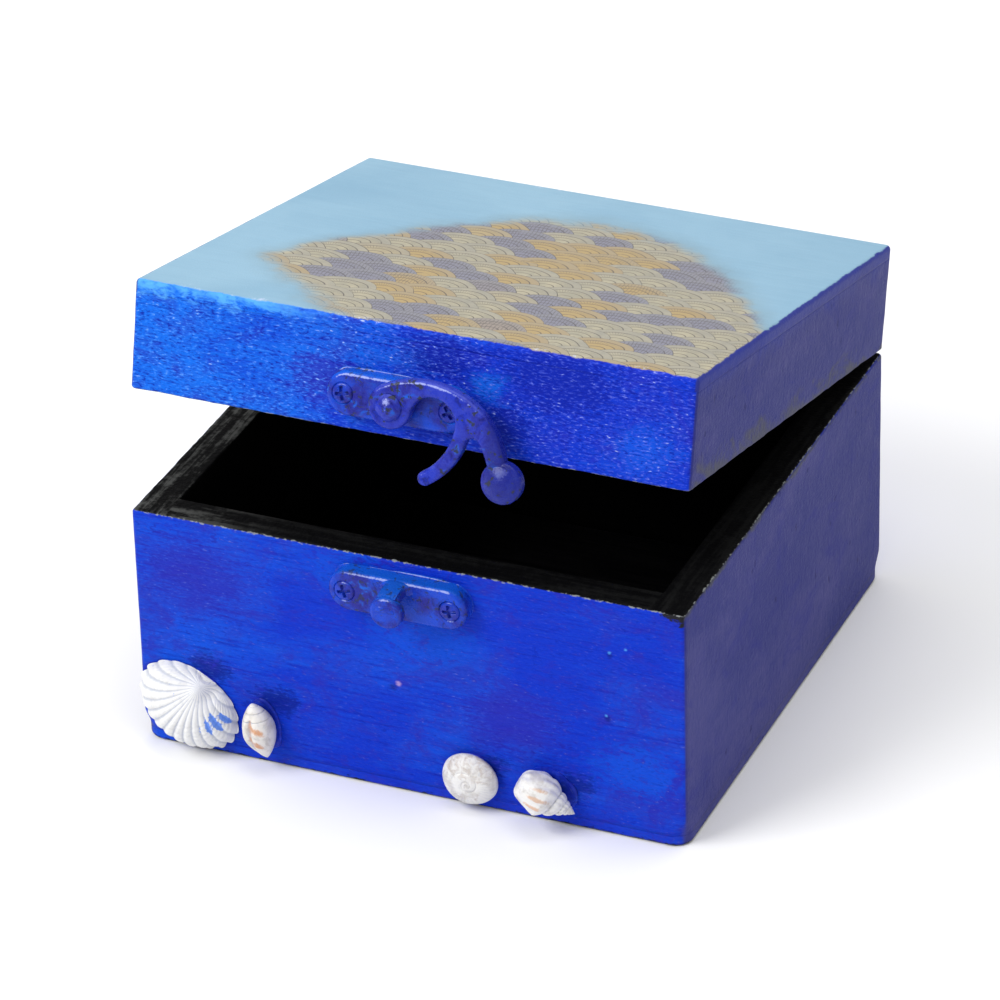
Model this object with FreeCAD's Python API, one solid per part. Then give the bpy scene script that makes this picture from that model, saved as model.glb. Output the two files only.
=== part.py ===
"""Painted wooden keepsake box with a hinged lid, a swing-hook latch and shells glued to its front.

Millimetres, Z up. X runs along the front from left to right and Y from front to back. The origin is
the middle of the underside. The lid and what it carries are modelled shut, then swung open about the
hinge pins to the angle at which the lid rests.
"""
import FreeCAD
import Part
import math
import os

Vector = FreeCAD.Vector

# Wooden boards
BOX_WIDTH = 150.0
BOX_DEPTH = 144.0
BASE_HEIGHT = 67.8
LID_HEIGHT = 28.8
WALL_THICKNESS = 9.5
FLOOR_THICKNESS = 3.0
TOP_THICKNESS = 3.6
CORNER_ROUND = 1.2
FLOOR_CORNER_ROUND = 5.0
FLOOR_EDGE_ROUND = 1.2
TOP_EDGE_ROUND = 2.4
RIM_GAP = 0.3
LID_OPEN_DEGREES = 12.9

# Butt hinges on the back
HINGE_INSET = 29.0
HINGE_LENGTH = 26.0
LEAF_HEIGHT = 11.0
LEAF_THICKNESS = 1.0
KNUCKLE_RADIUS = 2.0
KNUCKLE_GAP = 0.3
BARREL_STANDOFF = 0.2
PIN_RADIUS = 0.95
PIN_CLEARANCE = 0.05
PIN_HEAD_RADIUS = 1.5
PIN_HEAD_THICKNESS = 0.8
HINGE_SCREW_SPACING = 15.0
HINGE_SCREW_DROP = 6.8
HINGE_SCREW_HEAD_RADIUS = 1.9
HINGE_SCREW_SHANK_RADIUS = 0.9
HINGE_SCREW_DOME = 0.2

# Screws
SCREW_SEAT_CLEARANCE = 0.03
SCREW_END_COVER = 2.2
RECESS_SPAN_SHARE = 0.62
RECESS_SLOT_SHARE = 0.13
RECESS_DEPTH_SHARE = 0.36

# Latch plates on the front
LATCH_X = -1.2
CATCH_X = -0.1
PLATE_LENGTH = 37.6
PLATE_HEIGHT = 11.4
PLATE_THICKNESS = 4.4
PLATE_EDGE_ROUND = 1.2
PLATE_SCREW_SPACING = 28.5
PLATE_SCREW_HEAD_RADIUS = 2.95
PLATE_SCREW_SHANK_RADIUS = 1.3
PLATE_SCREW_DOME = 0.4
PIVOT_HEIGHT = 10.4
BOSS_RADIUS = 4.8
BOSS_HEIGHT = 0.5
RIVET_RADIUS = 1.9
RIVET_TAIL_RADIUS = 2.8
RIVET_TAIL_THICKNESS = 0.6
RIVET_HEAD_RADIUS = 3.5
RIVET_HEAD_HEIGHT = 2.0
RIVET_CLEARANCE = 0.06

# Swing hook, drawn about its pivot with the knob to the right, as it rests
HOOK_THICKNESS = 3.8
HOOK_PLAY = 0.2
HOOK_EDGE_ROUND = 1.1
EYE_RADIUS = 5.7
EYE_ARM_DEGREES = 119.0
EYE_MOUTH_DEGREES = -8.0
CLAW_INNER_RADIUS = 17.65
CLAW_WIDTH = 3.7
CLAW_HEEL_DEGREES = -9.0
CLAW_ROOT_DEGREES = -15.0
CLAW_TIP_DEGREES = -58.0
KNOB_DISTANCE = 33.6
KNOB_DEGREES = -24.9
KNOB_RADIUS = 5.4
KNOB_CAP_RADIUS = 4.4
KNOB_CAP_HEIGHT = 1.3
NECK_SINK_DEPTH = 1.4
NECK_OUTER_DEGREES = 79.0
NECK_INNER_DEGREES = 152.0
NECK_OUTER_HEADING = -83.0
NECK_INNER_HEADING = -78.0

# Keeper on the catch plate
KEEPER_WIDTH = 4.8
KEEPER_CLEARANCE = 0.35
KEEPER_SIDE_CLEARANCE = 0.4
KEEPER_ROOT_HEIGHT = 2.5
KEEPER_NOSE_HEIGHT = 1.8
KEEPER_CROWN = 0.45
KEEPER_HEAD_RADIUS = 4.4
KEEPER_HEAD_THICKNESS = 2.4
KEEPER_HEAD_ROUND = 1.2
KEEPER_HEAD_DROP = 2.3
CATCH_PLATE_DROP = 2.55

# Shells, with their places on the front face
GLUE_THICKNESS = 0.4
COCKLE_FROM_LEFT = 13.6
COCKLE_Z = 13.2
COCKLE_TILT_DEGREES = -31.0
COCKLE_HALF_WIDTH = 14.4
COCKLE_HALF_HEIGHT = 11.2
COCKLE_DEPTH = 9.0
COCKLE_BEAK_OFFSET = 10.2
COCKLE_RIBS = 21
COCKLE_RIB_SWEEP = 108.0
COCKLE_RIB_RELIEF = 0.022
COCKLE_TOP_SHARE = 0.1
COCKLE_DOME_POWER = 0.75
OLIVE_FROM_LEFT = 35.0
OLIVE_Z = 12.0
OLIVE_TILT_DEGREES = 104.0
OLIVE_LENGTH = 15.8
OLIVE_RADIUS = 4.25
OLIVE_AXIS_HEIGHT = 3.6
MOON_FROM_RIGHT = 58.0
MOON_Z = 9.2
MOON_RADIUS = 7.3
MOON_HEIGHT = 5.2
WHELK_FROM_RIGHT = 35.9
WHELK_Z = 10.9
WHELK_TILT_DEGREES = -31.0
WHELK_LENGTH = 16.4
WHELK_RADIUS = 5.7
WHELK_AXIS_HEIGHT = 4.2
WHELK_LEAN_DEGREES = 10.0
WHELK_WHORLS = 4
WHELK_TAPER = 0.62

# Places worked out from the sizes above
FRONT_Y = -BOX_DEPTH / 2
BACK_Y = BOX_DEPTH / 2
LID_Z = BASE_HEIGHT + RIM_GAP
HINGE_Y = BACK_Y + KNUCKLE_RADIUS + BARREL_STANDOFF
HINGE_Z = BASE_HEIGHT + RIM_GAP / 2
PIVOT_Z = LID_Z + PIVOT_HEIGHT
HOOK_BACK = PLATE_THICKNESS + BOSS_HEIGHT + HOOK_PLAY
HOOK_FRONT = HOOK_BACK + HOOK_THICKNESS
CLAW_OUTER_RADIUS = CLAW_INNER_RADIUS + CLAW_WIDTH
KEEPER_REACH = CLAW_INNER_RADIUS - KEEPER_CLEARANCE
KEEPER_CORNER = abs(CATCH_X - LATCH_X) + KEEPER_WIDTH / 2
KEEPER_UNDERSIDE_Z = PIVOT_Z - math.sqrt(KEEPER_REACH ** 2 - KEEPER_CORNER ** 2)
CATCH_Z = KEEPER_UNDERSIDE_Z - CATCH_PLATE_DROP
COCKLE_X = -BOX_WIDTH / 2 + COCKLE_FROM_LEFT
OLIVE_X = -BOX_WIDTH / 2 + OLIVE_FROM_LEFT
MOON_X = BOX_WIDTH / 2 - MOON_FROM_RIGHT
WHELK_X = BOX_WIDTH / 2 - WHELK_FROM_RIGHT

# How far apart two levels may lie and still count as one
LEVEL_TOLERANCE = 0.001


def edges_at(shape, axis, level):
    """Edges that lie flat at one level along an axis."""
    low = axis + "Min"
    high = axis + "Max"
    flat = []
    for edge in shape.Edges:
        box = edge.BoundBox
        strays = [abs(getattr(box, low) - level), abs(getattr(box, high) - level)]
        if max(strays) < LEVEL_TOLERANCE:
            flat.append(edge)
    return flat


def rounded_block(height, z, corner):
    """Block of the box's plan size with rounded upright corners."""
    block = Part.makeBox(BOX_WIDTH, BOX_DEPTH, height, Vector(-BOX_WIDTH / 2, FRONT_Y, z))
    uprights = [edge for edge in block.Edges if edge.BoundBox.ZLength > height / 2]
    return block.makeFillet(corner, uprights)


def mitre_wedge(corner_a, corner_b, inward, z, height):
    """Upright prism behind one side, bounded by the two mitre planes."""
    along = (corner_b - corner_a).normalize()
    reach = 1.5 * WALL_THICKNESS
    inner_b = corner_b - along * reach + inward * reach
    inner_a = corner_a + along * reach + inward * reach
    outline = Part.makePolygon([corner_a, corner_b, inner_b, inner_a, corner_a])
    outline.translate(Vector(0, 0, z))
    return Part.Face(outline).extrude(Vector(0, 0, height))


def mitred_walls(z, height):
    """Four boards mitred into a frame, keyed by side."""
    cavity = Part.makeBox(
        BOX_WIDTH - 2 * WALL_THICKNESS,
        BOX_DEPTH - 2 * WALL_THICKNESS,
        height,
        Vector(-BOX_WIDTH / 2 + WALL_THICKNESS, FRONT_Y + WALL_THICKNESS, z),
    )
    frame = rounded_block(height, z, CORNER_ROUND).cut(cavity)
    front_left = Vector(-BOX_WIDTH / 2, FRONT_Y, 0)
    front_right = Vector(BOX_WIDTH / 2, FRONT_Y, 0)
    back_right = Vector(BOX_WIDTH / 2, BACK_Y, 0)
    back_left = Vector(-BOX_WIDTH / 2, BACK_Y, 0)
    sides = {
        "front": (front_left, front_right, Vector(0, 1, 0)),
        "right": (front_right, back_right, Vector(-1, 0, 0)),
        "back": (back_right, back_left, Vector(0, -1, 0)),
        "left": (back_left, front_left, Vector(1, 0, 0)),
    }
    walls = {}
    for side, (corner_a, corner_b, inward) in sides.items():
        wedge = mitre_wedge(corner_a, corner_b, inward, z, height)
        walls[side] = frame.common(wedge).Solids[0]
    return walls


def floor_panel():
    """Thin board under the base walls, rounded at its plan corners and lower edge."""
    panel = rounded_block(FLOOR_THICKNESS, 0, FLOOR_CORNER_ROUND)
    return panel.makeFillet(FLOOR_EDGE_ROUND, edges_at(panel, "Z", 0)).Solids[0]


def top_panel():
    """Thin board on the lid walls, with a sanded top edge."""
    z = LID_Z + LID_HEIGHT - TOP_THICKNESS
    panel = rounded_block(TOP_THICKNESS, z, TOP_EDGE_ROUND)
    return panel.makeFillet(TOP_EDGE_ROUND, edges_at(panel, "Z", z + TOP_THICKNESS)).Solids[0]


def turned(points_and_arcs):
    """Solid of revolution about Z from (radius, height) points; a triple of points is an arc.

    An arc that is not centred on the axis is turned as a free curve, since it may end on the axis.
    """
    edges = []
    for step in points_and_arcs:
        points = [Vector(radius, 0, height) for radius, height in step]
        if len(points) == 2:
            edges.append(Part.LineSegment(*points).toShape())
            continue
        arc = Part.Arc(*points).toShape()
        if abs(arc.Curve.Center.x) > LEVEL_TOLERANCE:
            arc = arc.toNurbs().Edges[0]
        edges.append(arc)
    face = Part.Face(Part.Wire(edges))
    return face.revolve(Vector(0, 0, 0), Vector(0, 0, 1), 360).Solids[0]


def dome_middle(radius, height):
    """Point half way out along a shallow dome that is highest on its axis."""
    sphere = (radius ** 2 + height ** 2) / (2 * height)
    return radius / 2, height - sphere + math.sqrt(sphere ** 2 - (radius / 2) ** 2)


def aimed(shape, position, direction):
    """Shape made along Z, moved to a position with its Z axis along a direction."""
    turn = FreeCAD.Rotation(Vector(0, 0, 1), direction)
    placed = shape.copy()
    placed.Placement = FreeCAD.Placement(position, turn)
    return placed


def screw_reach(metal):
    """Length of a screw below its seat, through the metal and most of the wood behind it."""
    return metal + WALL_THICKNESS - SCREW_END_COVER


def screw(head_radius, shank_radius, dome, metal):
    """Countersunk cross-head screw along Z: its domed head is up, its point down in the wood."""
    seat = head_radius - shank_radius
    tip = 1.5 * shank_radius
    end = -screw_reach(metal)
    middle = dome_middle(head_radius, dome)
    body = turned([
        ((0, dome), middle, (head_radius, 0)),
        ((head_radius, 0), (shank_radius, -seat)),
        ((shank_radius, -seat), (shank_radius, end + tip)),
        ((shank_radius, end + tip), (0, end)),
        ((0, end), (0, dome)),
    ])
    span = 2 * RECESS_SPAN_SHARE * head_radius
    slot = 2 * RECESS_SLOT_SHARE * head_radius
    depth = RECESS_DEPTH_SHARE * head_radius
    bar = Part.makeBox(span, slot, depth + dome, Vector(-span / 2, -slot / 2, -depth))
    cross = bar.copy()
    cross.rotate(Vector(0, 0, 0), Vector(0, 0, 1), 90)
    return body.cut(bar.fuse(cross)).Solids[0]


def screw_hole(head_radius, shank_radius, dome, metal):
    """Room for a screw in a plate and in the wood behind it, along Z."""
    seat = head_radius - shank_radius
    wide = head_radius + SCREW_SEAT_CLEARANCE
    narrow = shank_radius + SCREW_SEAT_CLEARANCE
    bottom = -screw_reach(metal) - SCREW_SEAT_CLEARANCE
    return turned([
        ((0, 2 * dome), (wide, 2 * dome)),
        ((wide, 2 * dome), (wide, 0)),
        ((wide, 0), (narrow, -seat)),
        ((narrow, -seat), (narrow, bottom)),
        ((narrow, bottom), (0, bottom)),
        ((0, bottom), (0, 2 * dome)),
    ])


def plate_screw_places(x, z):
    """Screw seats on the front of a latch plate."""
    y = FRONT_Y - PLATE_THICKNESS
    half = PLATE_SCREW_SPACING / 2
    return [Vector(x - half, y, z), Vector(x + half, y, z)]


def hinge_screw_places(hinge_x, rise):
    """Screw seats on the back of a hinge leaf."""
    y = BACK_Y + LEAF_THICKNESS
    half = HINGE_SCREW_SPACING / 2
    z = HINGE_Z + rise * HINGE_SCREW_DROP
    return [Vector(hinge_x - half, y, z), Vector(hinge_x + half, y, z)]


def plate_screws(x, z):
    sizes = (PLATE_SCREW_HEAD_RADIUS, PLATE_SCREW_SHANK_RADIUS, PLATE_SCREW_DOME, PLATE_THICKNESS)
    made = screw(*sizes)
    return [aimed(made, place, Vector(0, -1, 0)) for place in plate_screw_places(x, z)]


def plate_screw_holes(x, z):
    sizes = (PLATE_SCREW_HEAD_RADIUS, PLATE_SCREW_SHANK_RADIUS, PLATE_SCREW_DOME, PLATE_THICKNESS)
    room = screw_hole(*sizes)
    return [aimed(room, place, Vector(0, -1, 0)) for place in plate_screw_places(x, z)]


def hinge_centres():
    """Middle of each hinge along the back, a set way in from the box's ends."""
    reach = BOX_WIDTH / 2 - HINGE_INSET
    return {"left": -reach, "right": reach}


def hinge_screws(rise):
    sizes = (HINGE_SCREW_HEAD_RADIUS, HINGE_SCREW_SHANK_RADIUS, HINGE_SCREW_DOME, LEAF_THICKNESS)
    made = screw(*sizes)
    places = []
    for hinge_x in hinge_centres().values():
        places += hinge_screw_places(hinge_x, rise)
    return [aimed(made, place, Vector(0, 1, 0)) for place in places]


def hinge_screw_holes(rise):
    sizes = (HINGE_SCREW_HEAD_RADIUS, HINGE_SCREW_SHANK_RADIUS, HINGE_SCREW_DOME, LEAF_THICKNESS)
    room = screw_hole(*sizes)
    places = []
    for hinge_x in hinge_centres().values():
        places += hinge_screw_places(hinge_x, rise)
    return [aimed(room, place, Vector(0, 1, 0)) for place in places]


def hinge_leaf(hinge_x, rise):
    """Leaf with its knuckles: rise is -1 for the lower leaf and 1 for the upper one.

    The lower leaf has the two outer knuckles and the upper leaf the middle one.
    """
    third = HINGE_LENGTH / 3
    start = hinge_x - HINGE_LENGTH / 2
    if rise < 0:
        spans = [(start, start + third), (start + 2 * third, start + HINGE_LENGTH)]
    else:
        spans = [(start + third + KNUCKLE_GAP, start + 2 * third - KNUCKLE_GAP)]
    clear = KNUCKLE_RADIUS + KNUCKLE_GAP
    low_z = HINGE_Z + min(rise * clear, rise * LEAF_HEIGHT)
    leaf = Part.makeBox(
        HINGE_LENGTH, LEAF_THICKNESS, LEAF_HEIGHT - clear, Vector(start, BACK_Y, low_z)
    )
    bores = []
    for span_start, span_end in spans:
        width = span_end - span_start
        root_z = HINGE_Z + min(0, rise * clear)
        root = Part.makeBox(width, LEAF_THICKNESS, clear, Vector(span_start, BACK_Y, root_z))
        centre = Vector(span_start, HINGE_Y, HINGE_Z)
        knuckle = Part.makeCylinder(KNUCKLE_RADIUS, width, centre, Vector(1, 0, 0))
        leaf = leaf.fuse(root).fuse(knuckle)
        bores.append(Part.makeCylinder(PIN_RADIUS + PIN_CLEARANCE, width, centre, Vector(1, 0, 0)))
    return leaf.cut(bores).cut(hinge_screw_holes(rise)).removeSplitter().Solids[0]


def hinge_pin(hinge_x):
    """Pin through the knuckles, headed at both ends."""
    start = hinge_x - HINGE_LENGTH / 2
    along = Vector(1, 0, 0)
    pin = Part.makeCylinder(PIN_RADIUS, HINGE_LENGTH, Vector(start, HINGE_Y, HINGE_Z), along)
    for end in (start - PIN_HEAD_THICKNESS, start + HINGE_LENGTH):
        place = Vector(end, HINGE_Y, HINGE_Z)
        pin = pin.fuse(Part.makeCylinder(PIN_HEAD_RADIUS, PIN_HEAD_THICKNESS, place, along))
    return pin.removeSplitter().Solids[0]


def stadium_plate(x, z):
    """Long plate with round ends on the front face, its front edge eased."""
    half = (PLATE_LENGTH - PLATE_HEIGHT) / 2
    radius = PLATE_HEIGHT / 2
    left = Vector(x - half, FRONT_Y, z)
    right = Vector(x + half, FRONT_Y, z)
    up = Vector(0, 0, radius)
    side = Vector(radius, 0, 0)
    outline = Part.Wire([
        Part.LineSegment(left + up, right + up).toShape(),
        Part.Arc(right + up, right + side, right - up).toShape(),
        Part.LineSegment(right - up, left - up).toShape(),
        Part.Arc(left - up, left - side, left + up).toShape(),
    ])
    plate = Part.Face(outline).extrude(Vector(0, -PLATE_THICKNESS, 0))
    return plate.makeFillet(PLATE_EDGE_ROUND, edges_at(plate, "Y", FRONT_Y - PLATE_THICKNESS))


def front_cylinder(radius, x, z, start, end):
    """Cylinder that stands out from the front face between two distances."""
    place = Vector(x, FRONT_Y - start, z)
    return Part.makeCylinder(radius, end - start, place, Vector(0, -1, 0))


def latch_plate():
    """Plate on the lid with a raised boss that the hook turns on."""
    plate = stadium_plate(LATCH_X, PIVOT_Z)
    boss = front_cylinder(BOSS_RADIUS, LATCH_X, PIVOT_Z, 0, PLATE_THICKNESS + BOSS_HEIGHT)
    bore = front_cylinder(RIVET_RADIUS, LATCH_X, PIVOT_Z, 0, HOOK_FRONT)
    tail = front_cylinder(RIVET_TAIL_RADIUS, LATCH_X, PIVOT_Z, 0, RIVET_TAIL_THICKNESS)
    return plate.fuse(boss).cut([bore, tail]).cut(plate_screw_holes(LATCH_X, PIVOT_Z)).Solids[0]


def latch_rivet():
    """Rivet with a flush tail behind the plate and a domed head over the hook's eye."""
    seat = HOOK_FRONT + HOOK_PLAY
    middle_radius, middle_height = dome_middle(RIVET_HEAD_RADIUS, RIVET_HEAD_HEIGHT)
    rivet = turned([
        ((0, 0), (RIVET_TAIL_RADIUS, 0)),
        ((RIVET_TAIL_RADIUS, 0), (RIVET_TAIL_RADIUS, RIVET_TAIL_THICKNESS)),
        ((RIVET_TAIL_RADIUS, RIVET_TAIL_THICKNESS), (RIVET_RADIUS, RIVET_TAIL_THICKNESS)),
        ((RIVET_RADIUS, RIVET_TAIL_THICKNESS), (RIVET_RADIUS, seat)),
        ((RIVET_RADIUS, seat), (RIVET_HEAD_RADIUS, seat)),
        (
            (RIVET_HEAD_RADIUS, seat),
            (middle_radius, seat + middle_height),
            (0, seat + RIVET_HEAD_HEIGHT),
        ),
        ((0, seat + RIVET_HEAD_HEIGHT), (0, 0)),
    ])
    return aimed(rivet, Vector(LATCH_X, FRONT_Y, PIVOT_Z), Vector(0, -1, 0))


def polar(radius, degrees):
    """Point in the hook's plane, about its pivot."""
    angle = math.radians(degrees)
    return Vector(radius * math.cos(angle), 0, radius * math.sin(angle))


def crowned_arc(start, end, crown):
    """Arc that rises by crown to the left of the way from start to end."""
    chord = end - start
    left = Vector(-chord.z, 0, chord.x).normalize()
    return Part.Arc(start, (start + end) * 0.5 + left * crown, end).toShape()


def tangent_arc(start, heading, end):
    """Arc that leaves start along a heading and ends at a point."""
    chord = end - start
    lean = math.atan2(chord.x * heading.z - chord.z * heading.x, chord.dot(heading))
    return crowned_arc(start, end, chord.Length / 2 * math.tan(lean / 2))


def biarc(start, start_heading, end, end_heading):
    """Two arcs, smooth where they meet, from one point and heading to another."""
    way = end - start
    headings = start_heading + end_heading
    spread = 2 * (1 - start_heading.dot(end_heading))
    pull = way.dot(headings)
    arm = (math.sqrt(pull ** 2 + spread * way.dot(way)) - pull) / spread
    joint = (start + end + (start_heading - end_heading) * arm) * 0.5
    return [tangent_arc(start, start_heading, joint), tangent_arc(end, end_heading * -1, joint)]


def hook_outline():
    """Outline of the hook less its knob: eye, arched arm, lever, and a claw centred on the pivot."""
    knob = polar(KNOB_DISTANCE, KNOB_DEGREES)
    arm_start = polar(EYE_RADIUS, EYE_ARM_DEGREES)
    mouth_end = polar(EYE_RADIUS, EYE_MOUTH_DEGREES)
    eye_far = polar(EYE_RADIUS, (EYE_ARM_DEGREES + EYE_MOUTH_DEGREES) / 2 + 180)
    neck_outer = knob + polar(KNOB_RADIUS - NECK_SINK_DEPTH, NECK_OUTER_DEGREES)
    neck_inner = knob + polar(KNOB_RADIUS - NECK_SINK_DEPTH, NECK_INNER_DEGREES)
    claw_root = polar(CLAW_OUTER_RADIUS, CLAW_ROOT_DEGREES)
    outer_middle = polar(CLAW_OUTER_RADIUS, (CLAW_ROOT_DEGREES + CLAW_TIP_DEGREES) / 2)
    tip_outer = polar(CLAW_OUTER_RADIUS, CLAW_TIP_DEGREES)
    tip_inner = polar(CLAW_INNER_RADIUS, CLAW_TIP_DEGREES)
    inner_middle = polar(CLAW_INNER_RADIUS, (CLAW_HEEL_DEGREES + CLAW_TIP_DEGREES) / 2)
    heel = polar(CLAW_INNER_RADIUS, CLAW_HEEL_DEGREES)
    arm = biarc(
        arm_start, polar(1, EYE_ARM_DEGREES - 90), neck_outer, polar(1, NECK_OUTER_HEADING)
    )
    crotch = biarc(
        claw_root, polar(1, CLAW_ROOT_DEGREES + 90), neck_inner, polar(1, NECK_INNER_HEADING)
    )
    mouth = biarc(
        heel, polar(1, CLAW_HEEL_DEGREES + 90), mouth_end, polar(1, EYE_MOUTH_DEGREES - 90)
    )
    claw = [
        Part.Arc(claw_root, outer_middle, tip_outer).toShape(),
        crowned_arc(tip_outer, tip_inner, CLAW_WIDTH / 2),
        Part.Arc(tip_inner, inner_middle, heel).toShape(),
    ]
    neck = Part.LineSegment(neck_outer, neck_inner).toShape()
    eye = Part.Arc(mouth_end, eye_far, arm_start).toShape()
    return Part.Wire(arm + [neck] + crotch[::-1] + claw + mouth + [eye])


def eased(blank):
    """Blank cut from the hook's plane, with both rims of its curved sides rounded."""
    rims = edges_at(blank, "Y", 0) + edges_at(blank, "Y", -HOOK_THICKNESS)
    curved = [rim for rim in rims if not isinstance(rim.Curve, Part.Line)]
    return blank.makeFillet(HOOK_EDGE_ROUND, curved)


def swing_hook():
    """Flat cast hook with eased edges, a rivet eye and a domed knob."""
    through = Vector(0, -HOOK_THICKNESS, 0)
    forward = Vector(0, -1, 0)
    knob = polar(KNOB_DISTANCE, KNOB_DEGREES)
    button = eased(Part.makeCylinder(KNOB_RADIUS, HOOK_THICKNESS, knob, forward))
    sphere = (KNOB_CAP_RADIUS ** 2 + KNOB_CAP_HEIGHT ** 2) / (2 * KNOB_CAP_HEIGHT)
    front_room = Part.makeCylinder(KNOB_RADIUS, 2 * sphere, knob + through, forward)
    cap_centre = knob + through + Vector(0, sphere - KNOB_CAP_HEIGHT, 0)
    cap = Part.makeSphere(sphere, cap_centre).common(front_room)
    arm = eased(Part.Face(hook_outline()).extrude(through))
    eye = Part.makeCylinder(RIVET_RADIUS + RIVET_CLEARANCE, HOOK_THICKNESS, Vector(0, 0, 0), forward)
    hook = arm.fuse([button, cap]).cut(eye)
    hook.translate(Vector(LATCH_X, FRONT_Y - HOOK_BACK, PIVOT_Z))
    return hook.Solids[0]


def catch_plate():
    """Plate on the base with a keeper: a crowned tongue near its top that ends in a round head."""
    head_back = HOOK_FRONT + KEEPER_SIDE_CLEARANCE
    head_front = head_back + KEEPER_HEAD_THICKNESS
    head_z = KEEPER_UNDERSIDE_Z - KEEPER_HEAD_DROP
    head = front_cylinder(KEEPER_HEAD_RADIUS, CATCH_X, head_z, head_back, head_front)
    head = head.makeFillet(KEEPER_HEAD_ROUND, edges_at(head, "Y", FRONT_Y - head_front))
    left_x = CATCH_X - KEEPER_WIDTH / 2
    nose = (head_back + head_front) / 2
    nose_top = Vector(left_x, FRONT_Y - nose, KEEPER_UNDERSIDE_Z + KEEPER_NOSE_HEIGHT)
    root_top = Vector(left_x, FRONT_Y - PLATE_THICKNESS, KEEPER_UNDERSIDE_Z + KEEPER_ROOT_HEIGHT)
    crown = (nose_top + root_top) * 0.5 + Vector(0, 0, KEEPER_CROWN)
    lower = Part.makePolygon([
        root_top,
        Vector(left_x, FRONT_Y, KEEPER_UNDERSIDE_Z + KEEPER_ROOT_HEIGHT),
        Vector(left_x, FRONT_Y, KEEPER_UNDERSIDE_Z),
        Vector(left_x, FRONT_Y - nose, KEEPER_UNDERSIDE_Z),
        nose_top,
    ])
    side = Part.Wire(lower.Edges + [Part.Arc(nose_top, crown, root_top).toShape()])
    tongue = Part.Face(side).extrude(Vector(KEEPER_WIDTH, 0, 0))
    plate = stadium_plate(CATCH_X, CATCH_Z).fuse([tongue, head])
    return plate.cut(plate_screw_holes(CATCH_X, CATCH_Z)).removeSplitter().Solids[0]


def on_front(shape, x, z):
    """Shape made on a Z=0 seat with its up along Y, stood on the glue of the front face."""
    placed = shape.copy()
    placed.rotate(Vector(0, 0, 0), Vector(1, 0, 0), 90)
    placed.translate(Vector(x, FRONT_Y - GLUE_THICKNESS, z))
    return placed


def cockle_margin(angle):
    """Distance from the beak to the shell's oval margin, in a direction from its lower middle."""
    across = math.sin(angle) / COCKLE_HALF_WIDTH
    along = math.cos(angle) / COCKLE_HALF_HEIGHT
    beak = COCKLE_BEAK_OFFSET / COCKLE_HALF_HEIGHT
    square = across ** 2 + along ** 2
    return (beak * along + math.sqrt(square - (beak * across) ** 2)) / square


def cockle_height(x, y):
    """Height of the shell's dome, highest over its middle and nothing at its oval margin."""
    oval = (x / COCKLE_HALF_WIDTH) ** 2 + (y / COCKLE_HALF_HEIGHT) ** 2
    return COCKLE_DEPTH * max(0.0, 1 - oval) ** COCKLE_DOME_POWER


def cockle_ring(share):
    """Ring of the shell: its margin drawn in towards the beak, with ridges and valleys, on the dome.

    The ring at the margin and the small one round the beak are level, so that the shell can be closed.
    """
    sweep = math.radians(COCKLE_RIB_SWEEP)
    steps = 2 * COCKLE_RIBS
    angles = [-sweep + 2 * sweep * step / steps for step in range(steps + 1)]
    reliefs = [COCKLE_RIB_RELIEF * (-1) ** (step + 1) for step in range(steps + 1)]
    back_steps = COCKLE_RIBS // 3
    back = 2 * (math.pi - sweep)
    angles += [sweep + back * step / back_steps for step in range(1, back_steps)]
    reliefs += [0.0] * (back_steps - 1)
    level = 0.0 if share == 1 else cockle_height(0, COCKLE_BEAK_OFFSET)
    points = []
    for angle, relief in zip(angles, reliefs):
        reach = share * cockle_margin(angle) * (1 + relief)
        x = -reach * math.sin(angle)
        y = COCKLE_BEAK_OFFSET - reach * math.cos(angle)
        on_dome = COCKLE_TOP_SHARE < share < 1
        points.append(Vector(x, y, cockle_height(x, y) if on_dome else level))
    return Part.makePolygon(points + points[:1])


def cockle_shell():
    """Ribbed half shell: rings that climb over the dome and close in on the beak."""
    turns = [0.0, 16.0, 33.0, 50.0, 68.0]
    shares = [math.cos(math.radians(turn)) for turn in turns] + [COCKLE_TOP_SHARE]
    shell = Part.makeLoft([cockle_ring(share) for share in shares], True, True)
    shell.rotate(Vector(0, 0, 0), Vector(0, 0, 1), COCKLE_TILT_DEGREES)
    return on_front(shell, COCKLE_X, COCKLE_Z).Solids[0]


def laid_on_front(spindle, x, z, tilt, lean, axis_height, length):
    """Spindle turned about Z, laid along the front face and ground flat where it is glued."""
    spindle.translate(Vector(0, 0, -length / 2))
    spindle.rotate(Vector(0, 0, 0), Vector(0, 1, 0), 90 + lean)
    spindle.rotate(Vector(0, 0, 0), Vector(0, 0, 1), tilt)
    spindle.translate(Vector(0, 0, axis_height))
    room = Part.makeBox(4 * length, 4 * length, 2 * length, Vector(-2 * length, -2 * length, 0))
    return on_front(spindle.common(room), x, z).Solids[0]


def olive_shell():
    """Smooth egg-shaped shell, narrow and blunt at the lip end, with a short spire."""
    fat = 0.54 * OLIVE_LENGTH
    blunt = 0.3 * OLIVE_RADIUS
    spindle = turned([
        ((0, 0), (blunt, 0)),
        ((blunt, 0), (0.79 * OLIVE_RADIUS, 0.45 * fat), (OLIVE_RADIUS, fat)),
        ((OLIVE_RADIUS, fat), (0.74 * OLIVE_RADIUS, 0.82 * OLIVE_LENGTH), (0, OLIVE_LENGTH)),
        ((0, OLIVE_LENGTH), (0, 0)),
    ])
    return laid_on_front(
        spindle, OLIVE_X, OLIVE_Z, OLIVE_TILT_DEGREES, 0, OLIVE_AXIS_HEIGHT, OLIVE_LENGTH
    )


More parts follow.
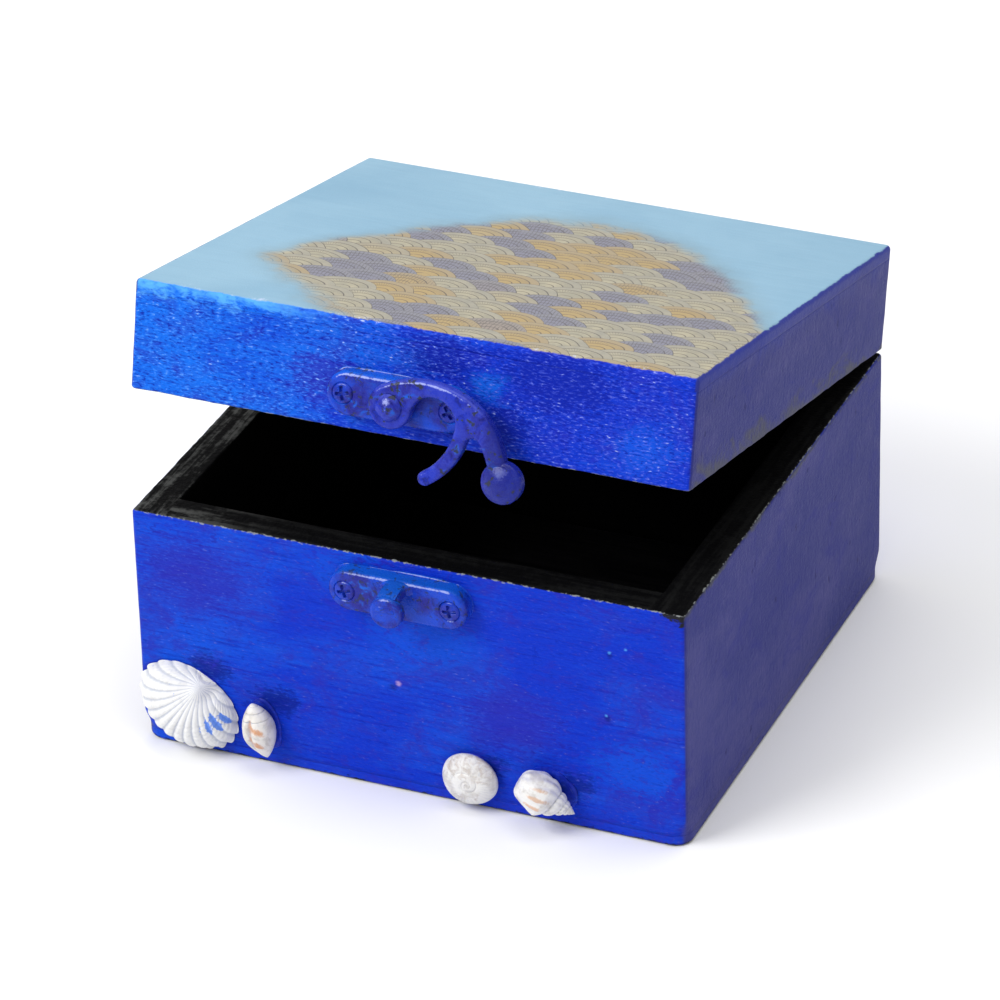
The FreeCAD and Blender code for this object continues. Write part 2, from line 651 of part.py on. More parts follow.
def whelk_shell():
    """Spired shell: a round body whorl with a short snout, and whorls that shrink by one ratio."""
    snout = 0.46 * WHELK_LENGTH
    spire = WHELK_LENGTH - snout
    steps = [((0, 0), (0.42 * WHELK_RADIUS, 0))]
    steps.append((
        (0.42 * WHELK_RADIUS, 0),
        (0.8 * WHELK_RADIUS, 0.42 * snout),
        (WHELK_RADIUS, snout),
    ))
    for whorl in range(WHELK_WHORLS):
        low = WHELK_TAPER ** whorl
        high = WHELK_TAPER ** (whorl + 1) if whorl + 1 < WHELK_WHORLS else 0.0
        middle = (low + high) / 2
        low_point = (WHELK_RADIUS * low, WHELK_LENGTH - spire * low)
        high_point = (WHELK_RADIUS * high, WHELK_LENGTH - spire * high)
        swell = 0.16 * WHELK_RADIUS * low
        steps.append((
            low_point,
            (WHELK_RADIUS * middle + swell, WHELK_LENGTH - spire * middle),
            high_point,
        ))
    steps.append(((0, WHELK_LENGTH), (0, 0)))
    return laid_on_front(
        turned(steps),
        WHELK_X,
        WHELK_Z,
        WHELK_TILT_DEGREES,
        WHELK_LEAN_DEGREES,
        WHELK_AXIS_HEIGHT,
        WHELK_LENGTH,
    )


def moon_shell():
    """Round low-spired shell, glued on its mouth with the spire facing out."""
    foot = 0.86 * MOON_RADIUS
    suture_radius = 0.36 * MOON_RADIUS
    suture_height = 0.86 * MOON_HEIGHT
    shell = turned([
        ((0, 0), (foot, 0)),
        ((foot, 0), (MOON_RADIUS, 0.36 * MOON_HEIGHT), (suture_radius, suture_height)),
        (
            (suture_radius, suture_height),
            (0.24 * MOON_RADIUS, 0.95 * MOON_HEIGHT),
            (0, MOON_HEIGHT),
        ),
        ((0, MOON_HEIGHT), (0, 0)),
    ])
    return on_front(shell, MOON_X, MOON_Z)


def glue_pad(x, z, half_long, half_short, tilt):
    """Oval film of glue under a shell."""
    oval = Part.Ellipse(Vector(0, 0, 0), half_long, half_short).toShape()
    pad = Part.Face(Part.Wire(oval)).extrude(Vector(0, 0, -GLUE_THICKNESS))
    pad.rotate(Vector(0, 0, 0), Vector(0, 0, 1), tilt)
    return on_front(pad, x, z)


def shell_glue():
    return [
        glue_pad(COCKLE_X, COCKLE_Z, 0.9 * COCKLE_HALF_WIDTH, COCKLE_HALF_HEIGHT, COCKLE_TILT_DEGREES),
        glue_pad(OLIVE_X, OLIVE_Z, 0.45 * OLIVE_LENGTH, 0.9 * OLIVE_RADIUS, OLIVE_TILT_DEGREES),
        glue_pad(MOON_X, MOON_Z, 0.9 * MOON_RADIUS, 0.85 * MOON_RADIUS, 0),
        glue_pad(WHELK_X, WHELK_Z, 0.4 * WHELK_LENGTH, 0.85 * WHELK_RADIUS, WHELK_TILT_DEGREES),
    ]


def base_nodes():
    """Everything that stands still, by node name."""
    walls = mitred_walls(FLOOR_THICKNESS, BASE_HEIGHT - FLOOR_THICKNESS)
    nodes = {
        "base_front_wall": walls["front"].cut(plate_screw_holes(CATCH_X, CATCH_Z)).Solids,
        "base_back_wall": walls["back"].cut(hinge_screw_holes(-1)).Solids,
        "base_left_wall": [walls["left"]],
        "base_right_wall": [walls["right"]],
        "base_floor_panel": [floor_panel()],
        "catch_plate": [catch_plate()],
        "catch_screws": plate_screws(CATCH_X, CATCH_Z),
        "cockle_shell": [cockle_shell()],
        "olive_shell": [olive_shell()],
        "moon_shell": [moon_shell()],
        "whelk_shell": [whelk_shell()],
        "shell_glue": shell_glue(),
        "hinge_lower_screws": hinge_screws(-1),
    }
    for side, hinge_x in hinge_centres().items():
        nodes["hinge_%s_lower_leaf" % side] = [hinge_leaf(hinge_x, -1)]
        nodes["hinge_%s_pin" % side] = [hinge_pin(hinge_x)]
    return nodes


def lid_nodes():
    """Everything that swings with the lid, modelled shut, by node name."""
    walls = mitred_walls(LID_Z, LID_HEIGHT - TOP_THICKNESS)
    nodes = {
        "lid_front_wall": walls["front"].cut(plate_screw_holes(LATCH_X, PIVOT_Z)).Solids,
        "lid_back_wall": walls["back"].cut(hinge_screw_holes(1)).Solids,
        "lid_left_wall": [walls["left"]],
        "lid_right_wall": [walls["right"]],
        "lid_top_panel": [top_panel()],
        "latch_plate": [latch_plate()],
        "latch_screws": plate_screws(LATCH_X, PIVOT_Z),
        "latch_rivet": [latch_rivet()],
        "swing_hook": [swing_hook()],
        "hinge_upper_screws": hinge_screws(1),
    }
    for side, hinge_x in hinge_centres().items():
        nodes["hinge_%s_upper_leaf" % side] = [hinge_leaf(hinge_x, 1)]
    return nodes


def swung_open(shape):
    """Shape of the shut lid, turned about the hinge pins to where the lid rests."""
    turned_shape = shape.copy()
    turned_shape.rotate(Vector(0, HINGE_Y, HINGE_Z), Vector(-1, 0, 0), LID_OPEN_DEGREES)
    return turned_shape


def main():
    os.makedirs("parts", exist_ok=True)
    nodes = base_nodes()
    for name, solids in lid_nodes().items():
        nodes[name] = [swung_open(solid) for solid in solids]
    for name, solids in nodes.items():
        shape = solids[0] if len(solids) == 1 else Part.makeCompound(solids)
        shape.exportStep("parts/%s.step" % name)
        volume = sum(solid.Volume for solid in solids)
        print("%-24s solids %d volume %.1f valid %s" % (name, len(shape.Solids), volume, shape.isValid()))


if __name__ == "__main__":
    main()
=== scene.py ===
"""Looks of a painted wooden keepsake box that stands ajar.

Brush-painted blue boards with a black inside, a pale lid with a print of overlapping scales, painted
latch hardware, brass hinges and glued sea shells, on a plain pale floor. Lengths are in millimetres and
become metres when a mesh is made; the floor, the lights and the camera's distance are in metres.
"""
import math

import bpy
import numpy as np
from mathutils import Matrix, Vector


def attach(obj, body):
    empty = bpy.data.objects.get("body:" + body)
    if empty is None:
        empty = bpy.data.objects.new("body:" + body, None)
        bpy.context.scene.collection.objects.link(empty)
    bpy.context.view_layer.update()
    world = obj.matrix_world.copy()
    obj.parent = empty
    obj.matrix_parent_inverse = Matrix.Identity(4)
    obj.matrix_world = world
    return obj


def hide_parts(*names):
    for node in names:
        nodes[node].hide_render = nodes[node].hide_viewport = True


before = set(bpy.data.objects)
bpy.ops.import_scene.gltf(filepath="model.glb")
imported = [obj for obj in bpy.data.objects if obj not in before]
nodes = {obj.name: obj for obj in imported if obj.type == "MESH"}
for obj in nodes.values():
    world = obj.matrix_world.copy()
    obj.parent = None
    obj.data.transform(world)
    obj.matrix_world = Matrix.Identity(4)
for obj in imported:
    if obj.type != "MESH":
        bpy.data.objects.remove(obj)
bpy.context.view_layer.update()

MM = 0.001

# Sizes of the boards, axis of the hinge pins and angle of the lid at rest, in the frame of the shut box
HALF_WIDTH = 75.0
HALF_DEPTH = 72.0
WALL = 9.5
FLOOR_TOP = 3.0
BASE_RIM = 67.8
LID_RIM = 68.1
PANEL_LOW = 93.3
PANEL_TOP = 96.9
CORNER = 1.2
FLOOR_CORNER = 5.0
PANEL_ROUND = 1.3
HINGE_Y = 74.2
HINGE_Z = 67.95
LID_DEGREES = 12.9

# Points along a side and round a corner of each ring of the box's plan
SIDE_POINTS = 110
CORNER_POINTS = 8

# Latch hardware on the front face: place along the front and height
LATCH_PLACE = (-1.2, 78.5)
CATCH_PLACE = (-0.1, 59.01)

# Both latch plates: thickness, half of a straight side, radius of the ends, screws from the middle
PLATE_THICKNESS = 4.4
PLATE_HALF = 13.1
PLATE_ROUND = 5.7
SCREW_OFFSET = 14.25

# Shells on the front face: thickness of their glue, then place along the front, height and tilt of each
GLUE_THICKNESS = 0.4
COCKLE_PLACE = (-61.4, 13.2, -31.0)
OLIVE_PLACE = (-40.0, 12.0, 104.0)
MOON_PLACE = (17.0, 9.0, 0.0)
WHELK_PLACE = (39.3, 10.2, -31.0)


def opened(points):
    """Points of the shut lid turned about the hinge pins to where the lid rests."""
    angle = math.radians(LID_DEGREES)
    y = points[..., 1] - HINGE_Y
    z = points[..., 2] - HINGE_Z
    turned = points.copy()
    turned[..., 1] = HINGE_Y + y * math.cos(angle) + z * math.sin(angle)
    turned[..., 2] = HINGE_Z - y * math.sin(angle) + z * math.cos(angle)
    return turned


def step(value, low, high):
    """Smooth step from 0 at low to 1 at high."""
    share = np.clip((value - low) / (high - low), 0.0, 1.0)
    return share * share * (3.0 - 2.0 * share)


def lumps(points, cell, seed):
    """Noise from -1 to 1: hashed numbers on a lattice, blended with a smooth step along each axis."""
    place = points / cell
    low = np.floor(place).astype(np.int64)
    share = place - low
    share = share * share * (3.0 - 2.0 * share)
    total = np.zeros(points.shape[:-1])
    for corner in np.ndindex(2, 2, 2):
        spot = low + np.array(corner)
        key = spot[..., 0] * 73856093 ^ spot[..., 1] * 19349663 ^ spot[..., 2] * 83492791 ^ seed * 40503
        key = (key * 1103515245 + 12345) & 0x7FFFFFFF
        key = (key ^ (key >> 13)) * 60493 & 0x7FFFFFFF
        weight = np.prod(np.where(np.array(corner) == 1, share, 1.0 - share), axis=-1)
        total += weight * ((key >> 7 & 0xFFFF) / 32767.5 - 1.0)
    return total


def hump(offset, spread):
    """Bell curve: 1 where the offset is 0, falling away with its square."""
    return np.exp(-(offset / spread) ** 2)


def wave(angle):
    """Cosine wave lifted to run from 0 to 1."""
    return 0.5 + 0.5 * np.cos(angle)


def wrapped(angle):
    """The same angle within half a turn of 0."""
    return np.angle(np.exp(1j * angle))


def full_turn(count):
    """Angles of points spread evenly round a circle."""
    return np.linspace(0.0, 2 * math.pi, count + 1)[:-1]


def around(values, ring):
    """One value for each row, repeated round a ring of points."""
    return np.repeat(values.astype(float)[:, None], ring, axis=1)


def end_middles(points):
    """Middle points of a grid's first and last rings."""
    return points[0].mean(0), points[-1].mean(0)


def grid_normals(points):
    """Unit normals of a grid of rings, from the cross product of its two central differences."""
    across = np.roll(points, -1, axis=1) - np.roll(points, 1, axis=1)
    along = np.gradient(points, axis=0)
    normal = np.cross(across, along)
    return normal / np.maximum(np.linalg.norm(normal, axis=-1, keepdims=True), 1e-9)


def surface(name, points, body, finish, replaced=(), loop=False, ends=(None, None), marks=None):
    """Piece from a grid of points (rows, columns, 3) whose columns join into rings.

    The rows join end to end where loop is true; otherwise a middle point closes an end that names one.
    Faces are turned outwards by the sign of the volume. marks are numbers or vectors kept per point.
    Points are those of the shut box, and a piece of the lid is opened here.
    """
    if body == "lid":
        points = opened(points)
        ends = [end if end is None else opened(np.asarray(end)) for end in ends]
    rows, columns = points.shape[:2]
    index = np.arange(rows * columns).reshape(rows, columns)
    start = index if loop else index[:-1]
    after = np.roll(index, -1, axis=0) if loop else index[1:]
    quads = np.stack([start, np.roll(start, -1, 1), np.roll(after, -1, 1), after], axis=-1).reshape(-1, 4)
    places = points.reshape(-1, 3)
    fans = []
    for end, ring, turn in ((ends[0], index[0], 1), (ends[1], index[-1], -1)):
        if end is None:
            continue
        middle = np.full(columns, len(places))
        places = np.concatenate([places, np.array(end, float).reshape(1, 3)])
        fan = np.stack([middle, np.roll(ring, -1), ring], axis=-1)
        fans.append(fan[:, ::turn])
    triangles = np.concatenate([quads[:, [0, 1, 2]], quads[:, [0, 2, 3]]] + fans)
    corners = places[triangles]
    volume = np.einsum("ij,ij->i", corners[:, 0], np.cross(corners[:, 1], corners[:, 2])).sum()
    faces = [quads] + fans
    if volume < 0:
        faces = [face[:, ::-1] for face in faces]
    mesh = bpy.data.meshes.new(name)
    mesh.from_pydata((places * MM).tolist(), [], [corner for face in faces for corner in face.tolist()])
    mesh.polygons.foreach_set("use_smooth", np.ones(len(mesh.polygons), bool))
    for key, value in (marks or {}).items():
        vector = value.ndim == 3
        kept = value.reshape(-1, 3) if vector else value.reshape(-1)
        caps = [ring for end, ring in zip(ends, (kept[:1], kept[-1:])) if end is not None]
        kept = np.concatenate([kept] + caps)
        layer = mesh.attributes.new(key, "FLOAT_VECTOR" if vector else "FLOAT", "POINT")
        layer.data.foreach_set("vector" if vector else "value", kept.astype(np.float32).ravel())
    mesh.materials.append(finish)
    piece = bpy.data.objects.new(name, mesh)
    bpy.context.scene.collection.objects.link(piece)
    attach(piece, body)
    if replaced:
        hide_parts(*replaced)


def math_node(operation, reflected=False):
    """A method that adds one Math node on its value and another, in turned order where it is reflected."""
    def method(self, other=0.0):
        first, second = (other, self) if reflected else (self, other)
        node = self.finish.node("ShaderNodeMath", {"operation": operation}, {0: first, 1: second})
        return Shade(self.finish, node.outputs[0])
    return method


class Shade:
    """One number of a material; Python operators on it add Math nodes."""

    def __init__(self, finish, output):
        self.finish = finish
        self.output = output

    __add__ = math_node("ADD")
    __radd__ = math_node("ADD", reflected=True)
    __sub__ = math_node("SUBTRACT")
    __rsub__ = math_node("SUBTRACT", reflected=True)
    __mul__ = math_node("MULTIPLY")
    __rmul__ = math_node("MULTIPLY", reflected=True)
    __truediv__ = math_node("DIVIDE")
    __mod__ = math_node("FLOORED_MODULO")
    __lt__ = math_node("LESS_THAN")
    __abs__ = math_node("ABSOLUTE")
    floor = math_node("FLOOR")
    root = math_node("SQRT")
    most = math_node("MAXIMUM")
    turn = math_node("ARCTAN2")

    def step(self, low, high):
        """Smooth step from 0 at low to 1 at high; low may lie above high."""
        ends = {"Value": self, "From Min": low, "From Max": high, "To Min": 0.0, "To Max": 1.0}
        if low > high:
            ends.update({"From Min": high, "From Max": low, "To Min": 1.0, "To Max": 0.0})
        node = self.finish.node("ShaderNodeMapRange", {"interpolation_type": "SMOOTHSTEP"}, ends)
        return Shade(self.finish, node.outputs[0])


class Finish:
    """A procedural material on one Principled shader."""

    def __init__(self, name, **constants):
        self.material = bpy.data.materials.new(name)
        self.material.use_nodes = True
        self.tree = self.material.node_tree
        self.tree.nodes.clear()
        self.shader = self.node("ShaderNodeBsdfPrincipled")
        for socket, value in constants.items():
            self.shader.inputs[socket.replace("_", " ")].default_value = value
        self.node("ShaderNodeOutputMaterial", {}, {"Surface": self.shader.outputs[0]})

    def node(self, kind, settings=None, sockets=None):
        """Adds a node: its settings first, then the values or links of its sockets."""
        made = self.tree.nodes.new(kind)
        for key, value in (settings or {}).items():
            setattr(made, key, value)
        for key, value in (sockets or {}).items():
            socket = made.inputs[key]
            if isinstance(value, Shade):
                value = value.output
            if isinstance(value, bpy.types.NodeSocket):
                self.tree.links.new(value, socket)
            elif isinstance(value, tuple) and len(socket.default_value) == 4:
                socket.default_value = (*value, 1.0)
            else:
                socket.default_value = value
        return made

    def place(self):
        """Place on the piece, in metres of the shared frame."""
        return self.node("ShaderNodeTexCoord").outputs["Object"]

    def mark(self, name):
        """A number kept on the mesh."""
        found = self.node("ShaderNodeAttribute", {"attribute_name": name})
        return Shade(self, found.outputs["Fac"])

    def shut_place(self):
        """Place in the frame of the shut box, kept on the mesh, in metres."""
        return self.node("ShaderNodeAttribute", {"attribute_name": "shut_place"}).outputs["Vector"]

    def facing(self):
        """The three numbers of the direction that the piece's surface faces."""
        outward = self.node("ShaderNodeTexCoord").outputs["Normal"]
        split = self.node("ShaderNodeSeparateXYZ", {}, {0: outward})
        return [Shade(self, output) for output in split.outputs]

    def parts(self, place):
        """The three numbers of a place, in millimetres."""
        scaled = self.node("ShaderNodeVectorMath", {"operation": "SCALE"}, {0: place, "Scale": 1.0 / MM})
        split = self.node("ShaderNodeSeparateXYZ", {}, {0: scaled.outputs[0]})
        return [Shade(self, output) for output in split.outputs]

    def stretched(self, place, sizes):
        """A place counted in lengths of three sizes in millimetres, or of one size every way."""
        counts = tuple(1.0 / MM / size for size in np.broadcast_to(sizes, 3))
        node = self.node("ShaderNodeVectorMath", {"operation": "MULTIPLY"}, {0: place, 1: counts})
        return node.outputs[0]

    def noise(self, place, sizes, detail=3.0, roughness=0.55, bend=0.0):
        """Cloudy noise from 0 to 1 whose lumps have the given sizes in millimetres."""
        node = self.node("ShaderNodeTexNoise", {}, {
            "Vector": self.stretched(place, sizes),
            "Scale": 1.0,
            "Detail": detail,
            "Roughness": roughness,
            "Distortion": bend,
        })
        return Shade(self, node.outputs[0])

    def spots(self, place, sizes):
        """Distance to the nearest of scattered points, in lengths of the given sizes."""
        node = self.node("ShaderNodeTexVoronoi", {}, {"Vector": self.stretched(place, sizes), "Scale": 1.0})
        return Shade(self, node.outputs["Distance"])

    def chance(self, number):
        """A random number from 0 to 1 for each value of a number."""
        node = self.node("ShaderNodeTexWhiteNoise", {"noise_dimensions": "1D"}, {"W": number})
        return Shade(self, node.outputs["Value"])

    def mix(self, share, first, second):
        """Colour from first at 0 to second at 1."""
        node = self.node("ShaderNodeMix", {"data_type": "RGBA", "clamp_factor": True}, {
            0: share, 6: first, 7: second,
        })
        return node.outputs[2]

    def wear(self, colour, roughness, height, relief):
        """Sets the colour, the roughness and a bump of the given height in millimetres."""
        bump = self.node("ShaderNodeBump", {}, {"Strength": 1.0, "Distance": relief * MM, "Height": height})
        for key, value in (("Base Color", colour), ("Roughness", roughness), ("Normal", bump.outputs[0])):
            if isinstance(value, Shade):
                value = value.output
            self.tree.links.new(value, self.shader.inputs[key])
        return self.material


# Shine and colours of the boards' dry paint; the slates also stand for the sides' painted shade and glare,
# and the chalk also for painted glints
PAINT_SHINE = 0.06
ROYAL = (0.003, 0.032, 0.52)
DEEP = (0.003, 0.011, 0.30)
VIOLET = (0.020, 0.019, 0.38)
INK_BLUE = (0.003, 0.009, 0.17)
AZURE = (0.004, 0.078, 0.64)
CERULEAN = (0.005, 0.132, 0.72)
PALE_BLUE = (0.085, 0.36, 0.85)
SLATE = (0.056, 0.057, 0.235)
SLATE_DEEP = (0.027, 0.032, 0.20)
EDGE_BLUE = (0.026, 0.040, 0.29)
OLIVE = (0.085, 0.088, 0.075)
BLACK = (0.002, 0.002, 0.0025)
WELL_BLACK = (0.0012, 0.0012, 0.0014)
WELL_GREY = (0.006, 0.006, 0.007)
CHALK_AND_GLINT = (0.55, 0.62, 0.82)
NICK_PINK = (0.50, 0.33, 0.60)
DASH_VIOLET = (0.075, 0.115, 0.66)
DASH_SKY = (0.045, 0.24, 0.86)
SOOT = (0.016, 0.016, 0.020)
SLATE_BLUE = (0.022, 0.025, 0.23)
SLATE_NICK = (0.007, 0.008, 0.14)
RIM_GREY = (0.085, 0.087, 0.085)
CHIP_GREY = (0.30, 0.32, 0.32)
FLOOR_STAIN = (0.003, 0.003, 0.004)
FLOOR_GRAIN = (0.012, 0.011, 0.013)

# Dabs of other blues on the two fronts: place along the front, height, reach, colour
BASE_DABS = (
    (-14.0, 62.0, 15.0, AZURE), (4.0, 47.0, 17.0, AZURE), (62.0, 20.0, 15.0, AZURE),
    (-58.0, 52.0, 20.0, VIOLET), (28.0, 28.0, 17.0, VIOLET),
    # The ink-blue dabs at the upper right of each shell are darker paint pooled there, which also stands
    # for a painted shadow beside the shell
    (-55.5, 25.0, 7.5, INK_BLUE), (-37.0, 19.0, 8.0, INK_BLUE), (23.0, 13.5, 5.5, INK_BLUE),
    (45.5, 12.5, 7.0, INK_BLUE),
)
LID_DABS = (
    (-22.0, 80.0, 13.0, VIOLET), (8.0, 91.0, 13.0, DEEP), (40.0, 90.0, 20.0, DEEP), (27.0, 76.0, 9.0, DEEP),
    (21.0, 86.0, 6.5, CERULEAN), (62.0, 76.0, 12.0, AZURE),
)
# Drops of paint and a nick on the base's front, with painted light: place along the front, height, reach,
# colour
# The pale blue dabs are painted highlights on the drops' upper sides; the ink-blue dabs are darker paint
# that also stands for painted shade under the drops and the nick
BASE_DROPS_WITH_PAINTED_LIGHT = (
    (-3.9, 30.6, 1.5, INK_BLUE), (-2.4, 32.0, 1.1, NICK_PINK),
    (55.0, 52.6, 1.2, INK_BLUE), (54.9, 53.4, 0.7, PALE_BLUE), (59.2, 55.2, 0.6, PALE_BLUE),
    (54.2, 34.2, 1.4, INK_BLUE), (53.8, 34.9, 0.6, PALE_BLUE),
)


class Brushwork:
    """The noises that brushed coats share: clouds, patches, long strokes, crumbs, dashes and grit."""

    def __init__(self, finish, place):
        self.clouds = finish.noise(place, (46.0, 46.0, 24.0), 4.0, 0.6, 0.6)
        self.patches = finish.noise(place, (15.0, 15.0, 10.0), 4.0, 0.65, 1.2)
        self.strokes = finish.noise(place, (14.0, 14.0, 0.9), 5.0, 0.6, 0.5)
        self.crumbs = finish.noise(place, (3.4, 3.4, 1.5), 4.0, 0.65, 0.8)
        self.dashes = finish.noise(place, (1.5, 1.5, 0.48), 2.0, 0.6, 0.4)
        self.upright = finish.noise(place, (6.0, 1.9, 5.0), 4.0, 0.62, 1.2)
        self.grit = finish.noise(place, 0.55, 2.0, 0.6)


def dabbed(finish, place, blue, dabs, ragged, squash, core, cover):
    """Dabs laid over the blue of the front alone, by the distance from a point, made ragged by noise.

    squash flattens them, core is the share of their reach that is full, and cover how strongly they hide.
    """
    x, y, z = finish.parts(place)
    for right, height, reach, colour in dabs:
        over, up = x - right, (z - height) * squash
        away = (over * over + up * up).root() + ragged * reach
        blue = finish.mix(away.step(reach, reach * core) * (y < 0.0) * cover, blue, colour)
    return blue


def front_blue(finish, place, brush, glow, gather, dashed, dabs):
    """Blue of a front: a wash of two blues, violet patches, dark streaks, dabs, fine pale dashes that also
    stand for painted highlights on the paint's relief, and painted glints.

    glow is the lighter blue, gather how strongly it lies to the left, and dashed the share of dashes.
    """
    x = finish.parts(place)[0]
    clouds, patches, strokes, crumbs, dashes = (
        brush.clouds, brush.patches, brush.strokes, brush.crumbs, brush.dashes
    )
    lean = (patches * 60.0 - 30.0 - x * gather).step(-20.0, 55.0)
    wash = ((clouds - 0.5) * 2.0 + (strokes - 0.5) * 0.9 + 0.3 + lean * 0.6).step(0.15, 0.95)
    blue = finish.mix(wash, ROYAL, glow)
    blue = finish.mix((patches + clouds * 0.4).step(0.62, 0.95) * 0.7, blue, VIOLET)
    blue = finish.mix((strokes + patches * 0.25).step(0.58, 0.40) * 0.5, blue, DEEP)
    ragged = crumbs * 1.7 + patches + dashes * 0.9 + strokes * 0.9 - 2.25
    blue = dabbed(finish, place, blue, dabs, ragged, squash=1.5, core=0.35, cover=0.7)
    blue = finish.mix((crumbs + dashes * 0.35).step(0.60, 0.44) * (0.35 + dashed * 0.45), blue, DEEP)
    blue = finish.mix(dashes.step(0.46, 0.32) * (0.15 + dashed * 0.75), blue, DEEP)
    thick = (clouds * 0.5 + patches * 0.6 + crumbs * 0.3).step(0.50, 0.86)
    # Painted highlights: the pale dashes are dry-brushed paint that also stands for light caught by the
    # paint's relief
    pale = finish.mix(lean, DASH_VIOLET, DASH_SKY)
    blue = finish.mix(dashes.step(0.52, 0.66) * (0.4 + thick * 0.6) * dashed, blue, pale)
    # Painted glints: chalk specks where the paint lies thick
    glint = (dashes + crumbs * 0.3).step(0.80, 0.92) * thick
    return finish.mix(glint * (0.15 + dashed * 0.8), blue, CHALK_AND_GLINT)


def base_blue(finish, place, brush):
    """Front of the base, flecked with violet, with a few drops and their painted highlights and shade, and
    sooty at its upper right corner.
    """
    x, y, z = finish.parts(place)
    blue = front_blue(finish, place, brush, glow=AZURE, gather=0.2, dashed=0.14, dabs=BASE_DABS)
    flecks = (brush.crumbs + brush.patches * 0.5 + (brush.dashes - 0.5) * 0.4).step(0.74, 0.96)
    blue = finish.mix(flecks * 0.55, blue, VIOLET)
    # Drops with painted highlights on their upper sides and painted shade under them
    blue = dabbed(finish, place, blue, BASE_DROPS_WITH_PAINTED_LIGHT, brush.dashes - 0.5, squash=1.0, core=0.2, cover=0.65)
    soot = ((x - 70.0) * 0.2 + (z - 65.2) * 0.4 + (brush.crumbs - 0.5) * 2.6).step(0.35, 0.8)
    return finish.mix(soot * (y < 0.0), blue, SOOT)


def lid_blue(finish, place, brush):
    """Front of the lid, with pale blue pulled down from its top edge at the left."""
    x, _, z = finish.parts(place)
    blue = front_blue(finish, place, brush, glow=CERULEAN, gather=1.0, dashed=0.85, dabs=LID_DABS)
    pale = finish.mix((brush.patches + brush.crumbs * 0.3).step(0.45, 0.75), CERULEAN, PALE_BLUE)
    wavy = (brush.patches - 0.5) * 10.0 + (brush.crumbs - 0.5) * 7.0 + (brush.strokes - 0.5) * 4.0
    drawn = z - PANEL_LOW - 1.0 + wavy
    left = (x + (brush.patches - 0.5) * 40.0).step(-16.0, -44.0)
    return finish.mix(drawn.step(-1.6, 2.0) * left, blue, pale)


def side_slate_and_shade(finish, place, brush, smear, depth, lap):
    """Slate blue of a side, partly the sides' own paint and partly painted shade and painted glare: upright
    strokes, small nicks, olive smears and bluer paint at the top.

    smear is the height of the smears, depth how far they reach, and lap where the bluer paint begins.
    """
    z = finish.parts(place)[2]
    clouds, patches, upright = brush.clouds, brush.patches, brush.upright
    # Painted shade and glare: the sides get a greyer, darker slate than the fronts
    slate = finish.mix(((clouds - 0.5) * 1.8 + upright * 0.7).step(0.1, 0.75), SLATE_DEEP, SLATE)
    slate = finish.mix(patches.step(0.52, 0.70) * 0.5, slate, SLATE_BLUE)
    nicks = finish.spots(place, (5.0, 5.5, 11.0))
    ragged = (upright - 0.5) * 0.35 + (brush.crumbs - 0.5) * 0.35
    slate = finish.mix((nicks + ragged).step(0.11, 0.05), slate, SLATE_NICK)
    olive = (patches + clouds * 0.4 + upright * 0.25 - abs(z - smear) / depth).step(0.62, 0.86)
    slate = finish.mix(olive * 0.7, slate, OLIVE)
    bluer = (z - lap + (patches - 0.5) * 10.0).step(-4.0, 4.0)
    return finish.mix(bluer * 0.8, slate, EDGE_BLUE)


def base_slate_and_shade(finish, place, brush):
    """Side of the base with its painted shade and glare, smeared close under its rim; the lap is set above
    the box, so none shows.
    """
    return side_slate_and_shade(finish, place, brush, smear=BASE_RIM, depth=7.0, lap=120.0)


def lid_slate_and_shade(finish, place, brush):
    """Side of the lid with its painted shade and glare, smeared widely above its rim and bluer along its
    top edge.
    """
    return side_slate_and_shade(finish, place, brush, smear=LID_RIM, depth=30.0, lap=93.0)


def board_paint(name, front, flank):
    """Brushed paint of four boards: blue outside, a dry-brushed black rim, a black inside.

    front and flank give the colours of the front and back and of the two sides; the sides' colour is partly
    painted shade and glare.
    """
    finish = Finish(name, Specular_IOR_Level=PAINT_SHINE)
    place = finish.shut_place()
    x = finish.parts(place)[0]
    brush = Brushwork(finish, place)
    side = finish.mark("side")
    rim = finish.mark("rim")
    inside = finish.mark("inside")
    edge = finish.mark("edge")
    # Faces that point sideways take the slate, with its painted shade and glare
    paint = finish.mix(side, front(finish, place, brush), flank(finish, place, brush))

    streaks = finish.noise(place, 13.0, 6.0, 0.72, 1.6)
    dry = finish.noise(place, 1.6, 4.0, 0.7)
    on_side = abs(x).step(HALF_WIDTH - WALL - 0.5, HALF_WIDTH - WALL + 0.5)
    pulls = on_side * finish.noise(place, (2.0, 30.0, 9.0), 4.0, 0.6, 0.3)
    pulls = pulls + (1.0 - on_side) * finish.noise(place, (30.0, 2.0, 9.0), 4.0, 0.6, 0.3)
    grey = (pulls + dry * 0.4 + streaks * 0.3).step(0.78, 1.0) * (0.07 + x.step(-30.0, -72.0) * 0.85)
    rim_black = finish.mix(grey, BLACK, RIM_GREY)
    well = finish.mix(streaks.step(0.5, 0.8) * 0.5, WELL_BLACK, WELL_GREY)
    paint = finish.mix(rim, paint, rim_black)
    paint = finish.mix(inside, paint, well)
    chip = (edge + (dry - 0.5) * 1.2 + (brush.dashes - 0.5) * 1.2).step(0.86, 1.08) * (1.0 - inside)
    paint = finish.mix(chip * 0.75 * (1.0 - side), paint, CHIP_GREY)

    rough = 0.44 + (brush.grit - 0.5) * 0.25 + (brush.patches - 0.5) * 0.15 + rim * 0.2 + inside * 0.25
    bristles = side * brush.upright + (1.0 - side) * brush.strokes
    height = bristles * 0.5 + brush.dashes * 0.35 + brush.grit * 0.2 + brush.crumbs * 0.45
    return finish.wear(paint, rough, height, 0.5)


